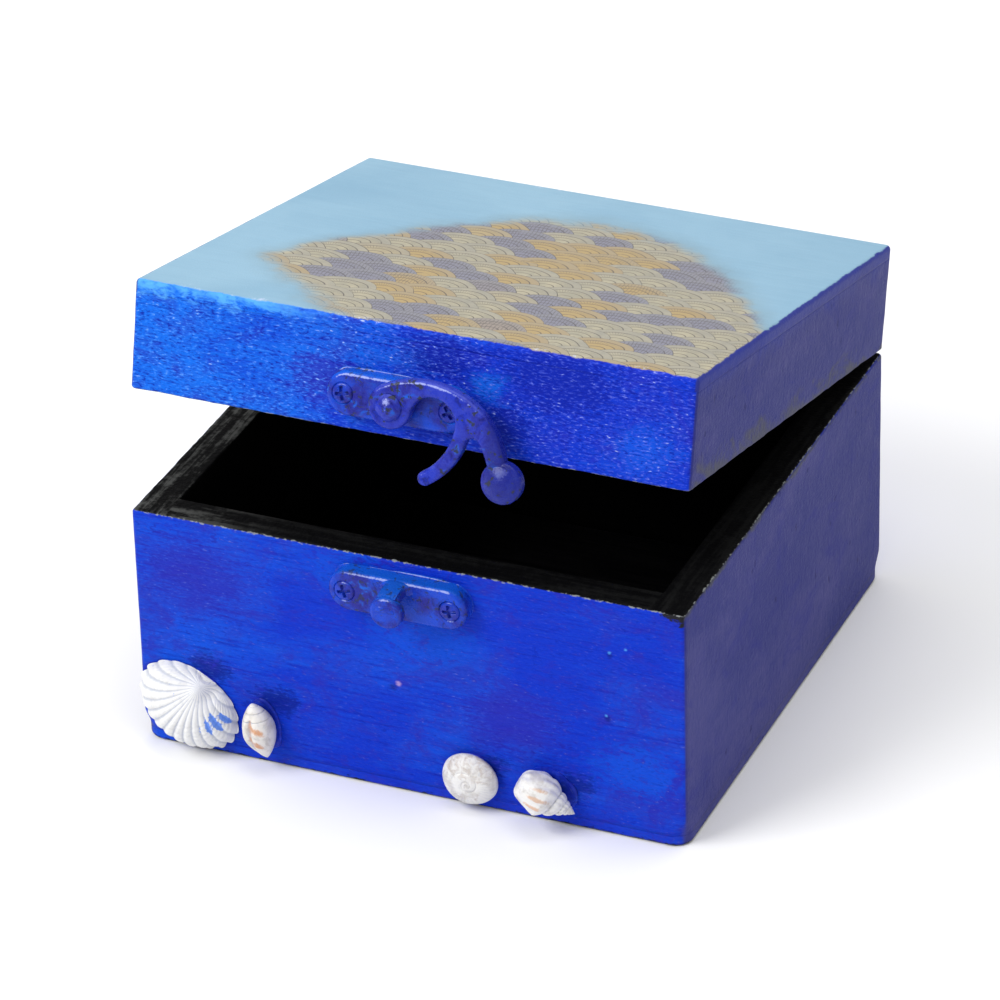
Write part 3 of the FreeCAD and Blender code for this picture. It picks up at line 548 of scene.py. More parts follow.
def frame_rings(insets, heights, rounds):
    """Rounded rectangles of the box's plan, one for each inset: quarter arcs joined by straight sides."""
    turn = np.linspace(0.0, math.pi / 2, CORNER_POINTS + 1)
    signs = np.array([(1, 1), (-1, 1), (-1, -1), (1, -1)], float)
    angles = turn[None, :] + np.arange(4)[:, None] * math.pi / 2
    arcs = np.stack([np.cos(angles), np.sin(angles)], axis=-1)
    half = np.array([HALF_WIDTH, HALF_DEPTH])
    middles = signs[None, :, :] * (half[None, None, :] - insets[:, None, None] - rounds[:, None, None])
    corners = middles[:, :, None, :] + rounds[:, None, None, None] * arcs[None]
    share = np.linspace(0.0, 1.0, SIDE_POINTS + 1)[None, None, 1:-1, None]
    straight = corners[:, :, -1:, :] * (1.0 - share) + np.roll(corners, -1, axis=1)[:, :, :1, :] * share
    plan = np.concatenate([corners, straight], axis=2).reshape(len(insets), -1, 2)
    height = np.broadcast_to(heights[:, None, None], plan.shape[:2] + (1,))
    return np.concatenate([plan, height], axis=-1)


def board_frame(name, far, rim, far_corner, body, finish, replaced, seed):
    """Four painted boards in a frame: a wall section carried round the box, rounded at the rim's two edges.

    The section runs up the outside, over the rim and down the inside, and its corners widen to the far
    board's. Paint lies on it as a slow swell of noise, a little stronger along the edges.
    """
    toward = 1.0 if rim > far else -1.0
    outer = 0.9
    inner = 0.7
    flare = 6.0
    least_round = 0.25
    bend = np.linspace(0.0, math.pi / 2, 7)
    up = np.linspace(far, rim - toward * outer, 52)
    over = np.linspace(outer, WALL - inner, 12)[1:-1]
    down = np.linspace(rim - toward * inner, far, 26)
    back = np.linspace(WALL, 0.0, 6)[1:-1]
    insets = np.concatenate([
        np.zeros_like(up), (outer - outer * np.cos(bend))[1:], over,
        (WALL - inner + inner * np.sin(bend)), np.full_like(down, WALL)[1:], back,
    ])
    heights = np.concatenate([
        up, (rim - toward * (outer - outer * np.sin(bend)))[1:], np.full_like(over, rim),
        (rim - toward * (inner - inner * np.cos(bend))), down[1:], np.full_like(back, far),
    ])
    corner = CORNER + (far_corner - CORNER) * step(np.abs(heights - far), flare, 0.0)
    rounds = np.maximum(corner - insets, least_round)
    points = frame_rings(insets, heights, rounds)
    normals = grid_normals(points)
    top = (outer * 0.35 < insets) & ((np.abs(heights - rim) < outer * 0.6) | (insets > WALL - inner))
    hidden = np.abs(heights - far) < 1e-6
    near_edge = hump(insets - outer * 0.3, 0.7) * hump(heights - rim, 0.8)
    swell = 0.10 * lumps(points, 17.0, seed) + 0.05 * lumps(points, 5.0, seed + 1)
    swell += 0.16 * near_edge[:, None] * lumps(points, 3.4, seed + 2)
    swell[hidden] = 0.0
    way_out = points * [1, 1, 0] * np.where(insets < WALL / 2, 1, -1)[:, None, None]
    outward = np.sign((normals * way_out).sum(-1))
    side = step(np.abs(normals[..., 0]), 0.55, 0.8)
    shaped = points - normals * np.abs(swell)[..., None] * np.where(outward == 0, 1.0, outward)[..., None]
    ring = points.shape[1]
    marks = {
        "side": side, "rim": around(top, ring), "inside": around(insets > WALL - 0.5 * inner, ring),
        "edge": around(near_edge, ring), "shut_place": points * MM,
    }
    surface(name, shaped, body, finish, replaced, loop=True, marks=marks)


board_frame(
    "base_boards", FLOOR_TOP, BASE_RIM, FLOOR_CORNER, "base",
    board_paint("brushed_base_blue", base_blue, base_slate_and_shade),
    ["base_front_wall", "base_back_wall", "base_left_wall", "base_right_wall"], seed=3,
)
board_frame(
    "lid_boards", PANEL_LOW, LID_RIM, CORNER, "lid",
    board_paint("brushed_lid_blue", lid_blue, lid_slate_and_shade),
    ["lid_front_wall", "lid_back_wall", "lid_left_wall", "lid_right_wall"], seed=11,
)


# Colours of the lid's top: its printed scales, their ink and the sky-blue paint round them
CREAM = (0.46, 0.41, 0.29)
CREAM_AGED = (0.36, 0.33, 0.25)
SAND = (0.44, 0.32, 0.15)
MAUVE = (0.25, 0.24, 0.29)
SCALE_SHADE = (0.29, 0.28, 0.27)
PRINT_INK = (0.085, 0.068, 0.065)
DUSK = (0.20, 0.28, 0.31)
SKY = (0.225, 0.395, 0.535)
SKY_LIGHT = (0.285, 0.465, 0.60)


def scale_print(finish, place, paper):
    """A print of overlapping scales on pale paint, faded out at its wavy edge.

    Rows of circles overlap like roof tiles: a point belongs to the frontmost circle that covers it.
    Rings and rays are inked in each scale by the point's distance and angle from the circle's middle.
    """
    x, y, _ = finish.parts(place)
    wobble = finish.noise(place, 30.0, 2.0)
    u = x * 0.985 - y * 0.17 + wobble * 5.0
    v = y * 0.985 + x * 0.17 + wobble * 4.0
    radius = 9.5
    rise = radius / 2
    found = []
    for back in (1, 0, -1):
        row = (v / rise).floor() - back
        shifted = u + (row % 2.0) * radius
        dx = shifted % (2 * radius) - radius
        dy = v - row * rise
        reach = (dx * dx + dy * dy).root()
        number = (shifted / (2 * radius)).floor() * 7.31 + row * 3.77
        found.append((reach < radius, reach, dx.turn(dy), number))

    def front_most(item):
        """One item of the frontmost circle that covers the point."""
        first, second, third = found
        behind = second[0] * second[item] + (1.0 - second[0]) * third[item]
        return first[0] * first[item] + (1.0 - first[0]) * behind

    reach = front_most(1) / radius
    angle = front_most(2)
    tone = finish.chance(front_most(3))
    age = finish.noise(place, 4.0, 4.0, 0.65)
    cream = finish.mix(age.step(0.3, 0.7), CREAM_AGED, CREAM)
    tint = finish.mix(tone.step(0.5, 0.56), cream, SAND)
    tint = finish.mix(tone.step(0.74, 0.78), tint, MAUVE)
    tint = finish.mix(reach.step(0.45, 0.95) * 0.35, tint, SCALE_SHADE)
    rings = abs((reach * 4.0 + (wobble - 0.5) * 0.2) % 1.0 - 0.5).step(0.40, 0.47)
    rays = abs((angle * 9.0) % 1.0 - 0.5).step(0.38, 0.46) * reach.step(0.5, 0.56) * reach.step(0.80, 0.74)
    hatch = abs((u * 1.05 + v * 0.3) % 1.0 - 0.5).step(0.30, 0.44)
    hatch = hatch * tone.step(0.70, 0.76) * reach.step(0.98, 0.9)
    ink = rings.most(rays * 0.7).most(hatch * 0.6) * age.step(0.25, 0.5)
    drawn = finish.mix(ink * 0.85, tint, PRINT_INK)
    ragged = finish.noise(place, 9.0, 5.0, 0.7)
    aside = x - 10.0
    shore = 42.0 - aside * aside / 62.0 - y + (wobble - 0.5) * 24.0 + (ragged - 0.5) * 16.0
    flank = x + y + 92.0 + (ragged - 0.5) * 16.0
    fade = shore.step(-6.0, 6.0) * flank.step(-6.0, 8.0)
    halo = shore.step(-16.0, 2.0) * flank.step(-14.0, 4.0)
    dusk = finish.mix(halo * 0.4, paper, DUSK)
    return finish.mix(fade * 0.94, dusk, drawn), fade


def top_paint():
    """Satin sky-blue paint of the lid's top with its print, lapped by the paint of the fronts and sides."""
    finish = Finish("satin_sky_top", Specular_IOR_Level=PAINT_SHINE)
    place = finish.shut_place()
    inset = finish.mark("inset")
    side = finish.mark("side")
    brush = Brushwork(finish, place)
    strokes = finish.noise(place, (18.0, 1.3, 1.3), 4.0, 0.6, 0.4)
    patches = finish.noise(place, 8.0, 5.0, 0.7, 0.8)
    shade = (brush.clouds * 0.7 + strokes * 0.35).step(0.3, 0.75)
    paper = finish.mix(shade, SKY, SKY_LIGHT)
    printed, fade = scale_print(finish, place, paper)
    lap = (inset + (patches - 0.5) * 2.0).step(0.95, 0.5)
    # The panel's sides take the lid's slate, with its painted shade and glare
    coat = finish.mix(side, lid_blue(finish, place, brush), lid_slate_and_shade(finish, place, brush))
    colour = finish.mix(lap, printed, coat)
    scuff = (patches + brush.grit * 0.3).step(0.72, 0.84) * inset.step(3.4, 1.8) * inset.step(0.3, 1.0)
    colour = finish.mix(scuff * (1.0 - side) * 0.7, colour, CHALK_AND_GLINT)
    well = finish.mix(strokes.step(0.4, 0.7), WELL_BLACK, WELL_GREY)
    colour = finish.mix(finish.mark("under"), colour, well)
    rough = 0.42 + (strokes - 0.5) * 0.15 + fade * 0.08
    height = strokes * 0.4 + brush.grit * 0.25 + patches * 0.5 + lap * brush.crumbs * 0.8
    return finish.wear(colour, rough, height, 0.2)


def lid_top():
    """Top board: rounded rectangles that spread out below, climb its side and close in over its top."""
    bend = np.linspace(0.0, math.pi / 2, 10)
    knee = PANEL_TOP - PANEL_ROUND
    inmost = HALF_DEPTH - 1.0
    least_round = 0.3
    swell = 0.10
    flat = PANEL_ROUND + (inmost - PANEL_ROUND) * np.linspace(0.0, 1.0, 40)[1:] ** 1.2
    under = np.linspace(inmost, 0.0, 8)
    insets = np.concatenate([
        under, np.zeros(3), (PANEL_ROUND - PANEL_ROUND * np.cos(bend)), flat,
    ])
    heights = np.concatenate([
        np.full_like(under, PANEL_LOW), np.linspace(PANEL_LOW, knee, 5)[1:-1],
        knee + PANEL_ROUND * np.sin(bend), np.full_like(flat, PANEL_TOP),
    ])
    rounds = np.maximum(PANEL_ROUND - insets, least_round)
    points = frame_rings(insets, heights, rounds)
    normals = grid_normals(points)
    side = step(np.abs(normals[..., 0]), 0.3, 0.6)
    near = np.abs(points[..., :2]) - np.array([HALF_WIDTH, HALF_DEPTH])
    side = np.maximum(side, step(near[..., 0] - near[..., 1], -0.6, 0.6))
    shaped = points.copy()
    sunk = np.where(heights > knee, swell, 0.0)[:, None]
    shaped[..., 2] -= sunk * (0.5 + 0.5 * lumps(points, 26.0, 21))
    ring = points.shape[1]
    marks = {
        "side": side, "inset": around(np.where(heights < knee, 0.0, insets), ring),
        "under": around((heights < PANEL_LOW + 0.1) & (insets > 1.0), ring), "shut_place": points * MM,
    }
    ends = np.array([(0.0, 0.0, PANEL_LOW), (0.0, 0.0, PANEL_TOP - swell / 2)])
    surface(
        "lid_top", shaped, "lid", top_paint(), ["lid_top_panel"],
        ends=ends, marks=marks,
    )


lid_top()


# Colours of the painted latch, from its bright blues and a painted highlight to bare metal
ENAMEL_BRIGHT = (0.005, 0.10, 0.60)
ENAMEL_VIOLET = (0.032, 0.052, 0.47)
ENAMEL_NIGHT = (0.012, 0.014, 0.24)
ENAMEL_DARK = (0.003, 0.006, 0.11)
ENAMEL_DARKER = (0.008, 0.011, 0.13)
ENAMEL_HIGHLIGHT = (0.36, 0.41, 0.78)
BARE_METAL = (0.022, 0.026, 0.034)


def latch_enamel(name, coat, light, worn, top_light, top_light_colour, edge_highlight, darker_from=HALF_WIDTH):
    """Blue paint brushed over cast metal, thin and speckled where the metal shows through.

    coat is the main blue, light the share of a lighter violet and worn how strongly bare specks show. The
    next three give painted light: the share and colour of a light from above painted where the paint faces
    up, and the share of pale painted highlight lines along the edges that face up and forward.
    The paint is darker to the right of the place that the last argument gives, and its painted light is
    weaker there.
    """
    finish = Finish(name, Specular_IOR_Level=0.2)
    place = finish.place()
    clouds = finish.noise(place, 7.0, 4.0, 0.6, 0.5)
    strokes = finish.noise(place, (4.0, 4.0, 0.8), 4.0, 0.6)
    grit = finish.noise(place, 0.5, 3.0, 0.6)
    specks = finish.noise(place, 1.5, 3.0, 0.5, 0.4)
    dabs = finish.noise(place, 3.0, 4.0, 0.65, 0.8)
    paint = finish.mix(clouds.step(0.38, 0.62), coat, ENAMEL_NIGHT)
    paint = finish.mix(dabs.step(0.36, 0.62) * light, paint, ENAMEL_VIOLET)
    paint = finish.mix((clouds * 0.5 + dabs * 0.6 + strokes * 0.2).step(0.72, 0.84), paint, ENAMEL_BRIGHT)
    paint = finish.mix(dabs.step(0.42, 0.32) * 0.6, paint, ENAMEL_DARK)
    # Darker paint to the right of the given place, where the painted light is also weakened
    darker_end = finish.parts(place)[0].step(darker_from, darker_from + 3.0)
    paint = finish.mix(darker_end * 0.6, paint, ENAMEL_DARKER)
    # Painted light from above: faces that point up take a lighter colour
    _, toward_back, toward_up = finish.facing()
    lit_from_above = (toward_up + (dabs - 0.5) * 0.9 + (grit - 0.5) * 0.5).step(0.45, 0.95)
    paint = finish.mix(lit_from_above * top_light * (1.0 - darker_end), paint, top_light_colour)
    # Painted highlight: pale lines on the edges that face up and forward
    edge = toward_up * 0.64 - toward_back * 0.77 + (grit - 0.5) * 0.10 + (dabs - 0.5) * 0.12
    paint = finish.mix(edge.step(0.965, 1.0) * edge_highlight * (1.0 - darker_end * 0.8), paint, ENAMEL_HIGHLIGHT)
    bare = (specks + (clouds - 0.5) * 0.3).step(0.60, 0.66)
    paint = finish.mix(bare * worn, paint, BARE_METAL)
    rough = 0.27 + (grit - 0.5) * 0.3 + bare * 0.12
    height = clouds * 0.4 + strokes * 0.3 + grit * 0.3 + dabs * 0.4 - bare * 0.25
    return finish.wear(paint, rough, height, 0.3)


def dark_board(name):
    """Nearly black stained board whose edges carry the paint of the base, chipped along the bottom."""
    finish = Finish(name, Specular_IOR_Level=0.1)
    place = finish.place()
    z = finish.parts(place)[2]
    brush = Brushwork(finish, place)
    grain = finish.noise(place, (30.0, 1.0, 1.0), 4.0, 0.6)
    stain = finish.mix(grain.step(0.35, 0.7), FLOOR_STAIN, FLOOR_GRAIN)
    toward_right, _, toward_up = finish.facing()
    # Sideways faces take the base's slate, with its painted shade and glare
    paint = finish.mix(
        abs(toward_right).step(0.6, 0.8), base_blue(finish, place, brush), base_slate_and_shade(finish, place, brush)
    )
    kept = (z + (brush.crumbs - 0.5) * 4.0 + (brush.dashes - 0.5) * 2.0).step(0.3, 1.0)
    colour = finish.mix(kept * abs(toward_up).step(0.9, 0.7), stain, paint)
    rough = 0.5 + (grain - 0.5) * 0.3
    height = grain * 0.4 + brush.strokes * 0.4 + brush.crumbs * 0.4
    return finish.wear(colour, rough, height, 0.3)


# Brass of the hinges
BRASS = (0.34, 0.24, 0.10)
BRASS_BROWN = (0.11, 0.075, 0.04)
BRASS_BRIGHT = (0.62, 0.47, 0.22)
BRASS_DAB = (0.010, 0.035, 0.40)


def hinge_brass():
    """Dull brass gone brown, with dabs of the boards' blue."""
    finish = Finish("dull_brass")
    place = finish.place()
    clouds = finish.noise(place, 5.0, 5.0, 0.65)
    scratch = finish.noise(place, (9.0, 0.4, 0.4), 3.0, 0.6)
    metal = finish.mix(clouds.step(0.35, 0.68), BRASS, BRASS_BROWN)
    metal = finish.mix(scratch.step(0.62, 0.75) * 0.5, metal, BRASS_BRIGHT)
    dab = finish.noise(place, (11.0, 11.0, 7.0), 5.0, 0.7, 0.8).step(0.60, 0.66)
    colour = finish.mix(dab, metal, BRASS_DAB)
    finish.tree.links.new((1.0 - dab).output, finish.shader.inputs["Metallic"])
    rough = 0.36 + clouds * 0.25 + dab * 0.1
    return finish.wear(colour, rough, scratch * 0.4 + clouds * 0.5 + dab * 0.5, 0.12)


def dress(finish, *names):
    """Gives CAD nodes a finish in place of the plain one they come with."""
    for name in names:
        slots = nodes[name].data.materials
        slots.clear()
        slots.append(finish)


hook_enamel = latch_enamel(
    "brushed_hook_enamel", coat=(0.005, 0.022, 0.40), light=0.55, worn=0.9,
    top_light=0.4, top_light_colour=(0.075, 0.10, 0.50), edge_highlight=0.7, darker_from=23.5,
)
plate_enamel = latch_enamel(
    "brushed_plate_enamel", coat=(0.003, 0.055, 0.54), light=0.2, worn=0.65,
    top_light=0.75, top_light_colour=(0.006, 0.105, 0.58), edge_highlight=0.7,
)
screw_enamel = latch_enamel(
    "brushed_screw_enamel", coat=(0.004, 0.040, 0.46), light=0.45, worn=0.35,
    top_light=0.3, top_light_colour=(0.02, 0.07, 0.5), edge_highlight=0.5,
)
dress(hook_enamel, "swing_hook", "latch_rivet")
dress(plate_enamel, "latch_plate", "catch_plate")
dress(dark_board("stained_floor"), "base_floor_panel")
dress(
    hinge_brass(),
    "hinge_left_lower_leaf", "hinge_right_lower_leaf", "hinge_left_upper_leaf", "hinge_right_upper_leaf",
    "hinge_left_pin", "hinge_right_pin", "hinge_lower_screws", "hinge_upper_screws",
)


def on_front(local, place, stand=GLUE_THICKNESS):
    """Points (right, up, out) moved to a place on the front face and tilted there, out from a stand-off."""
    right, height, degrees = place
    tilt = math.radians(degrees)
    p, q, out = local[..., 0], local[..., 1], local[..., 2]
    x = right + p * math.cos(tilt) - q * math.sin(tilt)
    z = height + p * math.sin(tilt) + q * math.cos(tilt)
    return np.stack([x, -HALF_DEPTH - stand - out, z], axis=-1)


def screw_head(name, place, body, finish, replaced=()):
    """Domed cross-head: rings about its axis that roll off into the countersink, with two slots pressed in.

    A slot lowers the points that lie close to one of two crossed lines and within its length.
    """
    radius, slot_deep = 2.74, 0.95
    slot_wide, bed_wide = 0.52, 0.34
    slot_long, bed_long = 1.9, 1.65
    skirt = (-0.9, -1.3)
    share = np.concatenate([np.linspace(0.02, 1.0, 40), [1.015, 1.0]])[:, None]
    angle = full_turn(144)
    u = radius * share * np.cos(angle)
    v = radius * share * np.sin(angle)
    roll = np.maximum(share - 0.84, 0.0) / 0.16
    dome = 0.5 * (1.0 - share ** 2) + 0.06 - 0.34 * roll ** 2
    one = step(np.abs(v), slot_wide, bed_wide) * step(np.abs(u), slot_long, bed_long)
    other = step(np.abs(u), slot_wide, bed_wide) * step(np.abs(v), slot_long, bed_long)
    out = dome - slot_deep * np.maximum(one, other)
    out[-2:] = np.array(skirt)[:, None]
    local = np.stack([u, v, out], axis=-1)
    ends = np.array([(0.0, 0.0, float(out[0].mean())), (0.0, 0.0, skirt[1])])
    placed = on_front(local, place, PLATE_THICKNESS)
    ends = on_front(ends, place, PLATE_THICKNESS)
    surface(name, placed, body, finish, replaced, ends=ends)


def keeper_neck(finish):
    """Smooth hood of the keeper: an arched section carried out from the plate, down over its round head."""
    out = np.linspace(3.0, 11.9, 70)
    top_at = [3.0, 4.4, 6.0, 8.0, 9.8, 10.8, 11.4, 11.75, 11.9]
    top = np.interp(out, top_at, [64.5, 64.7, 64.5, 64.1, 63.8, 63.3, 62.4, 61.4, 60.6])
    low = np.interp(out, [3.0, 9.2, 9.7, 11.9], [61.75, 61.75, 60.2, 59.9])
    wide_at = [3.0, 4.4, 5.2, 7.0, 9.0, 10.4, 11.4, 11.9]
    wide = np.interp(out, wide_at, [5.6, 4.7, 3.3, 2.9, 3.1, 3.4, 3.1, 2.2])
    soft = np.ones(7) / 7.0
    top, wide = (np.convolve(np.pad(line, 3, mode="edge"), soft, mode="valid") for line in (top, wide))
    turn = full_turn(72)
    arch = np.maximum(np.sin(turn), 0.0) ** 0.75
    x = CATCH_PLACE[0] + wide[:, None] * np.cos(turn)
    z = low[:, None] + (top - low)[:, None] * arch
    y = np.broadcast_to(-HALF_DEPTH - out[:, None], x.shape)
    points = np.stack([x, y, z], axis=-1)
    surface("keeper_neck", points, "base", finish, ends=end_middles(points))


for plate, (right, height), body, twists in (
    ("latch", LATCH_PLACE, "lid", (12.0, 35.0)), ("catch", CATCH_PLACE, "base", (16.0, 8.0)),
):
    left_place = (right - SCREW_OFFSET, height, twists[0])
    right_place = (right + SCREW_OFFSET, height, twists[1])
    screw_head(plate + "_screw_left", left_place, body, screw_enamel, [plate + "_screws"])
    screw_head(plate + "_screw_right", right_place, body, screw_enamel)
keeper_neck(plate_enamel)


# Colours that the shells share
GROOVE_SHADE = (0.40, 0.44, 0.54)
SHELL_BEIGE = (0.42, 0.38, 0.35)
SHELL_MIST = (0.50, 0.53, 0.58)
SHELL_BLUE = (0.06, 0.22, 0.78)


def shell_glaze(name, white, tint, ochre, stain):
    """Satin shell: white crests, grooves greyed by painted shade, tinted patches, beige clouds and dabs of
    blue paint.

    ochre is the strength of the tint and stain that of the blue.
    """
    finish = Finish(name, Specular_IOR_Level=0.5)
    place = finish.place()
    groove = finish.mark("groove")
    warm = finish.mark("warm")
    clouds = finish.noise(place, 5.0, 4.0, 0.6, 0.5)
    bands = finish.noise(place, 2.2, 4.0, 0.65, 1.0)
    grit = finish.noise(place, 0.35, 3.0, 0.6)
    # Painted shade: grooves, slits and sutures are greyed
    colour = finish.mix((groove + (bands - 0.5) * 0.5).step(0.3, 1.0) * 0.7, white, GROOVE_SHADE)
    colour = finish.mix((warm + (bands - 0.5) * 1.6).step(0.40, 0.95) * ochre, colour, tint)
    beige = (clouds + bands * 0.3).step(0.60, 0.80) * (0.12 + ochre * 0.5)
    colour = finish.mix(beige, colour, SHELL_BEIGE)
    colour = finish.mix(finish.noise(place, 1.2, 3.0).step(0.58, 0.7) * 0.3, colour, SHELL_MIST)
    smudge = finish.mark("smudge") * (0.10 + groove * 0.42)
    dab = (clouds * 0.7 + bands * 0.5 + smudge).step(0.76, 0.84) * stain
    colour = finish.mix(dab, colour, SHELL_BLUE)
    rough = 0.42 + (grit - 0.5) * 0.3 + groove * 0.15
    return finish.wear(colour, rough, grit * 0.4 + bands * 0.5, 0.12)


def cockle():
    """Ribbed half shell. A column is a line from the beak to the margin of an oval; a row a share of it.

    The height is a dome over the oval with a swelling at the beak, where the margin is notched. Ribs are a
    flattened cosine of the angle at the beak that grows towards the margin, beaded by a sine of the share.
    """
    half_width, half_height, depth, beak = 14.4, 11.2, 9.0, 10.2
    ribs, sweep = 21, math.radians(108.0)
    angle = np.linspace(-math.pi, math.pi, 505)[:-1][None, :]
    share = np.linspace(1.0, 0.0, 120)[:-1, None] ** 1.15
    across = np.sin(angle) / half_width
    along = np.cos(angle) / half_height
    offset = beak / half_height
    square = across ** 2 + along ** 2
    margin = (offset * along + np.sqrt(square - (offset * across) ** 2)) / square
    phase = (angle + sweep) / (2 * sweep) * ribs * 2 * math.pi
    ribbed = step(np.abs(angle), sweep + 0.12, sweep - 0.05)
    ridge = (0.5 - 0.5 * np.cos(phase)) ** 0.5
    notch = 1.0 - 0.35 * step(np.abs(angle), sweep - 0.5, sweep + 0.3)
    reach = share * margin * notch * (1.0 + 0.06 * ribbed * (ridge - 0.5) * step(share, 0.5, 1.0))
    p = -reach * np.sin(angle)
    q = beak - reach * np.cos(angle)
    oval = np.sqrt((p / half_width) ** 2 + (q / half_height) ** 2)
    dome = depth * np.maximum(1.0 - oval ** 2, 0.0) ** 0.75 * step(share / notch, 1.0, 0.86) ** 0.2
    knob = 1.3 * np.exp(-(p ** 2 + (q - beak + 0.6) ** 2) / 5.0)
    knob = knob - 1.1 * np.exp(-((p - 3.6) ** 2 + (q - beak + 1.2) ** 2) / 3.0)
    beads = 1.0 + 0.16 * np.sin(share * 15.0 * 2 * math.pi) * step(share, 0.3, 0.6)
    relief = 0.66 * ribbed * (ridge * beads - 0.5) * step(share, 0.05, 0.75) * (1.0 - 0.6 * oval ** 8)
    lines = sum(hump(share - line, 0.012) for line in (0.50, 0.64, 0.76, 0.86, 0.93))
    out = np.maximum(dome + knob + relief - 0.16 * lines * (1 - oval ** 6), 0.0)
    out[0] = 0.0
    local = np.stack([p, q, out], axis=-1)
    skirt = local[:1] * [1.0, 1.0, 0.0]
    local = np.concatenate([skirt, local])
    # Grooves between the ribs, where the glaze paints shade
    groove = (1.0 - ridge) * ribbed * np.ones_like(share)
    groove = np.concatenate([groove[:1], groove])
    smudge = np.exp(-((local[..., 0] - 8.7) ** 2 + ((local[..., 1] - 3.6) / 1.4) ** 2) / 9.0)
    glaze = shell_glaze(
        "cockle_white", white=(0.78, 0.78, 0.77), tint=(0.6, 0.5, 0.4), ochre=0.0, stain=0.9
    )
    ends = on_front(np.array([(0.0, 0.0, 0.0), (0.0, beak, float(out[-1].mean()))]), COCKLE_PLACE)
    surface(
        "cockle", on_front(local, COCKLE_PLACE), "base", glaze, ["cockle_shell"],
        ends=ends, marks={"groove": groove, "warm": np.zeros_like(groove), "smudge": smudge},
    )


def spindle(radius, length, axis_height, lean, profile, place):
    """Points of a shell turned about an axis that lies along the front, cut flat where it is glued.

    profile gives the distance from the axis for each share of the length and each angle.
    """
    share = np.linspace(0.003, 0.997, 110)[:, None]
    angle = full_turn(160)
    wide, marks = profile(share, angle)
    wide = radius * wide
    along = (share - 0.5) * length * np.ones_like(angle)
    q = wide * np.cos(angle)
    up = wide * np.sin(angle)
    dip = math.radians(lean)
    p = along * math.cos(dip) + up * math.sin(dip)
    out = axis_height - along * math.sin(dip) + up * math.cos(dip)
    local = np.stack([p, q, np.maximum(out, 0.0)], axis=-1)
    return on_front(local, place), marks


def olive():
    """Egg-shaped shell: a sine arch along the axis with a slit mouth and turns of groove at the spire."""
    def profile(share, angle):
        """Distance from the axis, as a share of the radius, and the marks of the glaze."""
        arch = np.sin(math.pi * share ** 1.08) ** 0.72
        mouth = wrapped(angle - 1.25 - 0.9 * (share - 0.5))
        slit = hump(mouth, 0.24) * step(share, 0.08, 0.2) * step(share, 0.86, 0.72)
        lip = hump(mouth + 0.42, 0.18) * step(share, 0.08, 0.25) * step(share, 0.9, 0.7)
        turn = (4.2 * share ** 3 + angle / (2 * math.pi)) % 1.0
        suture = hump(np.minimum(turn, 1 - turn), 0.06) * step(share, 0.62, 0.78)
        wide = arch * (1.0 - 0.22 * slit + 0.07 * lip - 0.10 * suture)
        window = hump(mouth - 0.62, 0.55) * step(share, 0.12, 0.3) * step(share, 0.85, 0.65)
        bands = wave(share * 22.0 + angle * 3.0)
        return wide, {"groove": slit + suture, "warm": np.clip(slit * 0.7 + window * bands * 1.1, 0.0, 1.0)}
    points, marks = spindle(
        radius=4.25, length=15.8, axis_height=3.6, lean=0.0, profile=profile, place=OLIVE_PLACE
    )
    glaze = shell_glaze(
        "olive_cream", white=(0.76, 0.73, 0.68), tint=(0.62, 0.30, 0.15), ochre=0.95, stain=0.15
    )
    surface(
        "olive", points, "base", glaze, ["olive_shell"],
        ends=end_middles(points), marks=marks,
    )


def whelk():
    """Spired shell: whorls that shrink to the tip by one ratio, wound as a helix, with ribs lengthwise."""
    def profile(share, angle):
        """Distance from the axis, as a share of the radius, and the marks of the glaze."""
        fat = 0.44
        body = np.sin(0.5 * math.pi * np.clip(share / fat, 0.0, 1.0)) ** 0.6
        spire = np.clip((1.0 - share) / (1.0 - fat), 0.0, 1.0)
        cone = np.where(share < fat, 0.38 + 0.62 * body, spire ** 0.92)
        count = np.log(np.maximum(spire, 0.02)) / math.log(0.60)
        turn = (count + angle / (2 * math.pi) + 0.15) % 1.0
        bulge = np.sin(math.pi * turn) ** 0.5
        wound = step(share, 0.26, 0.46)
        ribs = wave(angle * 13.0 + share * 9.0)
        frill = 0.10 * wave(angle * 10.0) * step(share, 0.16, 0.04)
        ribbed = 0.06 * (ribs - 0.5) * step(share, 0.15, 0.4)
        wide = cone * (1.0 - wound * 0.22 * (1.0 - bulge) + ribbed + frill)
        mouth = hump(wrapped(angle - 2.2 - share), 0.35) * step(share, 0.5, 0.3)
        warm = 1.25 * hump(share - 0.34, 0.2) * hump(angle - 1.35, 1.0) * ribs
        return wide - 0.1 * mouth, {"groove": (1.0 - bulge) * wound + 0.4 * mouth, "warm": warm}
    points, marks = spindle(
        radius=5.7, length=16.4, axis_height=4.2, lean=10.0, profile=profile, place=WHELK_PLACE
    )
    glaze = shell_glaze(
        "whelk_white", white=(0.78, 0.77, 0.75), tint=(0.66, 0.40, 0.25), ochre=0.85, stain=0.6
    )
    surface(
        "whelk", points, "base", glaze, ["whelk_shell"],
        ends=end_middles(points), marks=marks,
    )


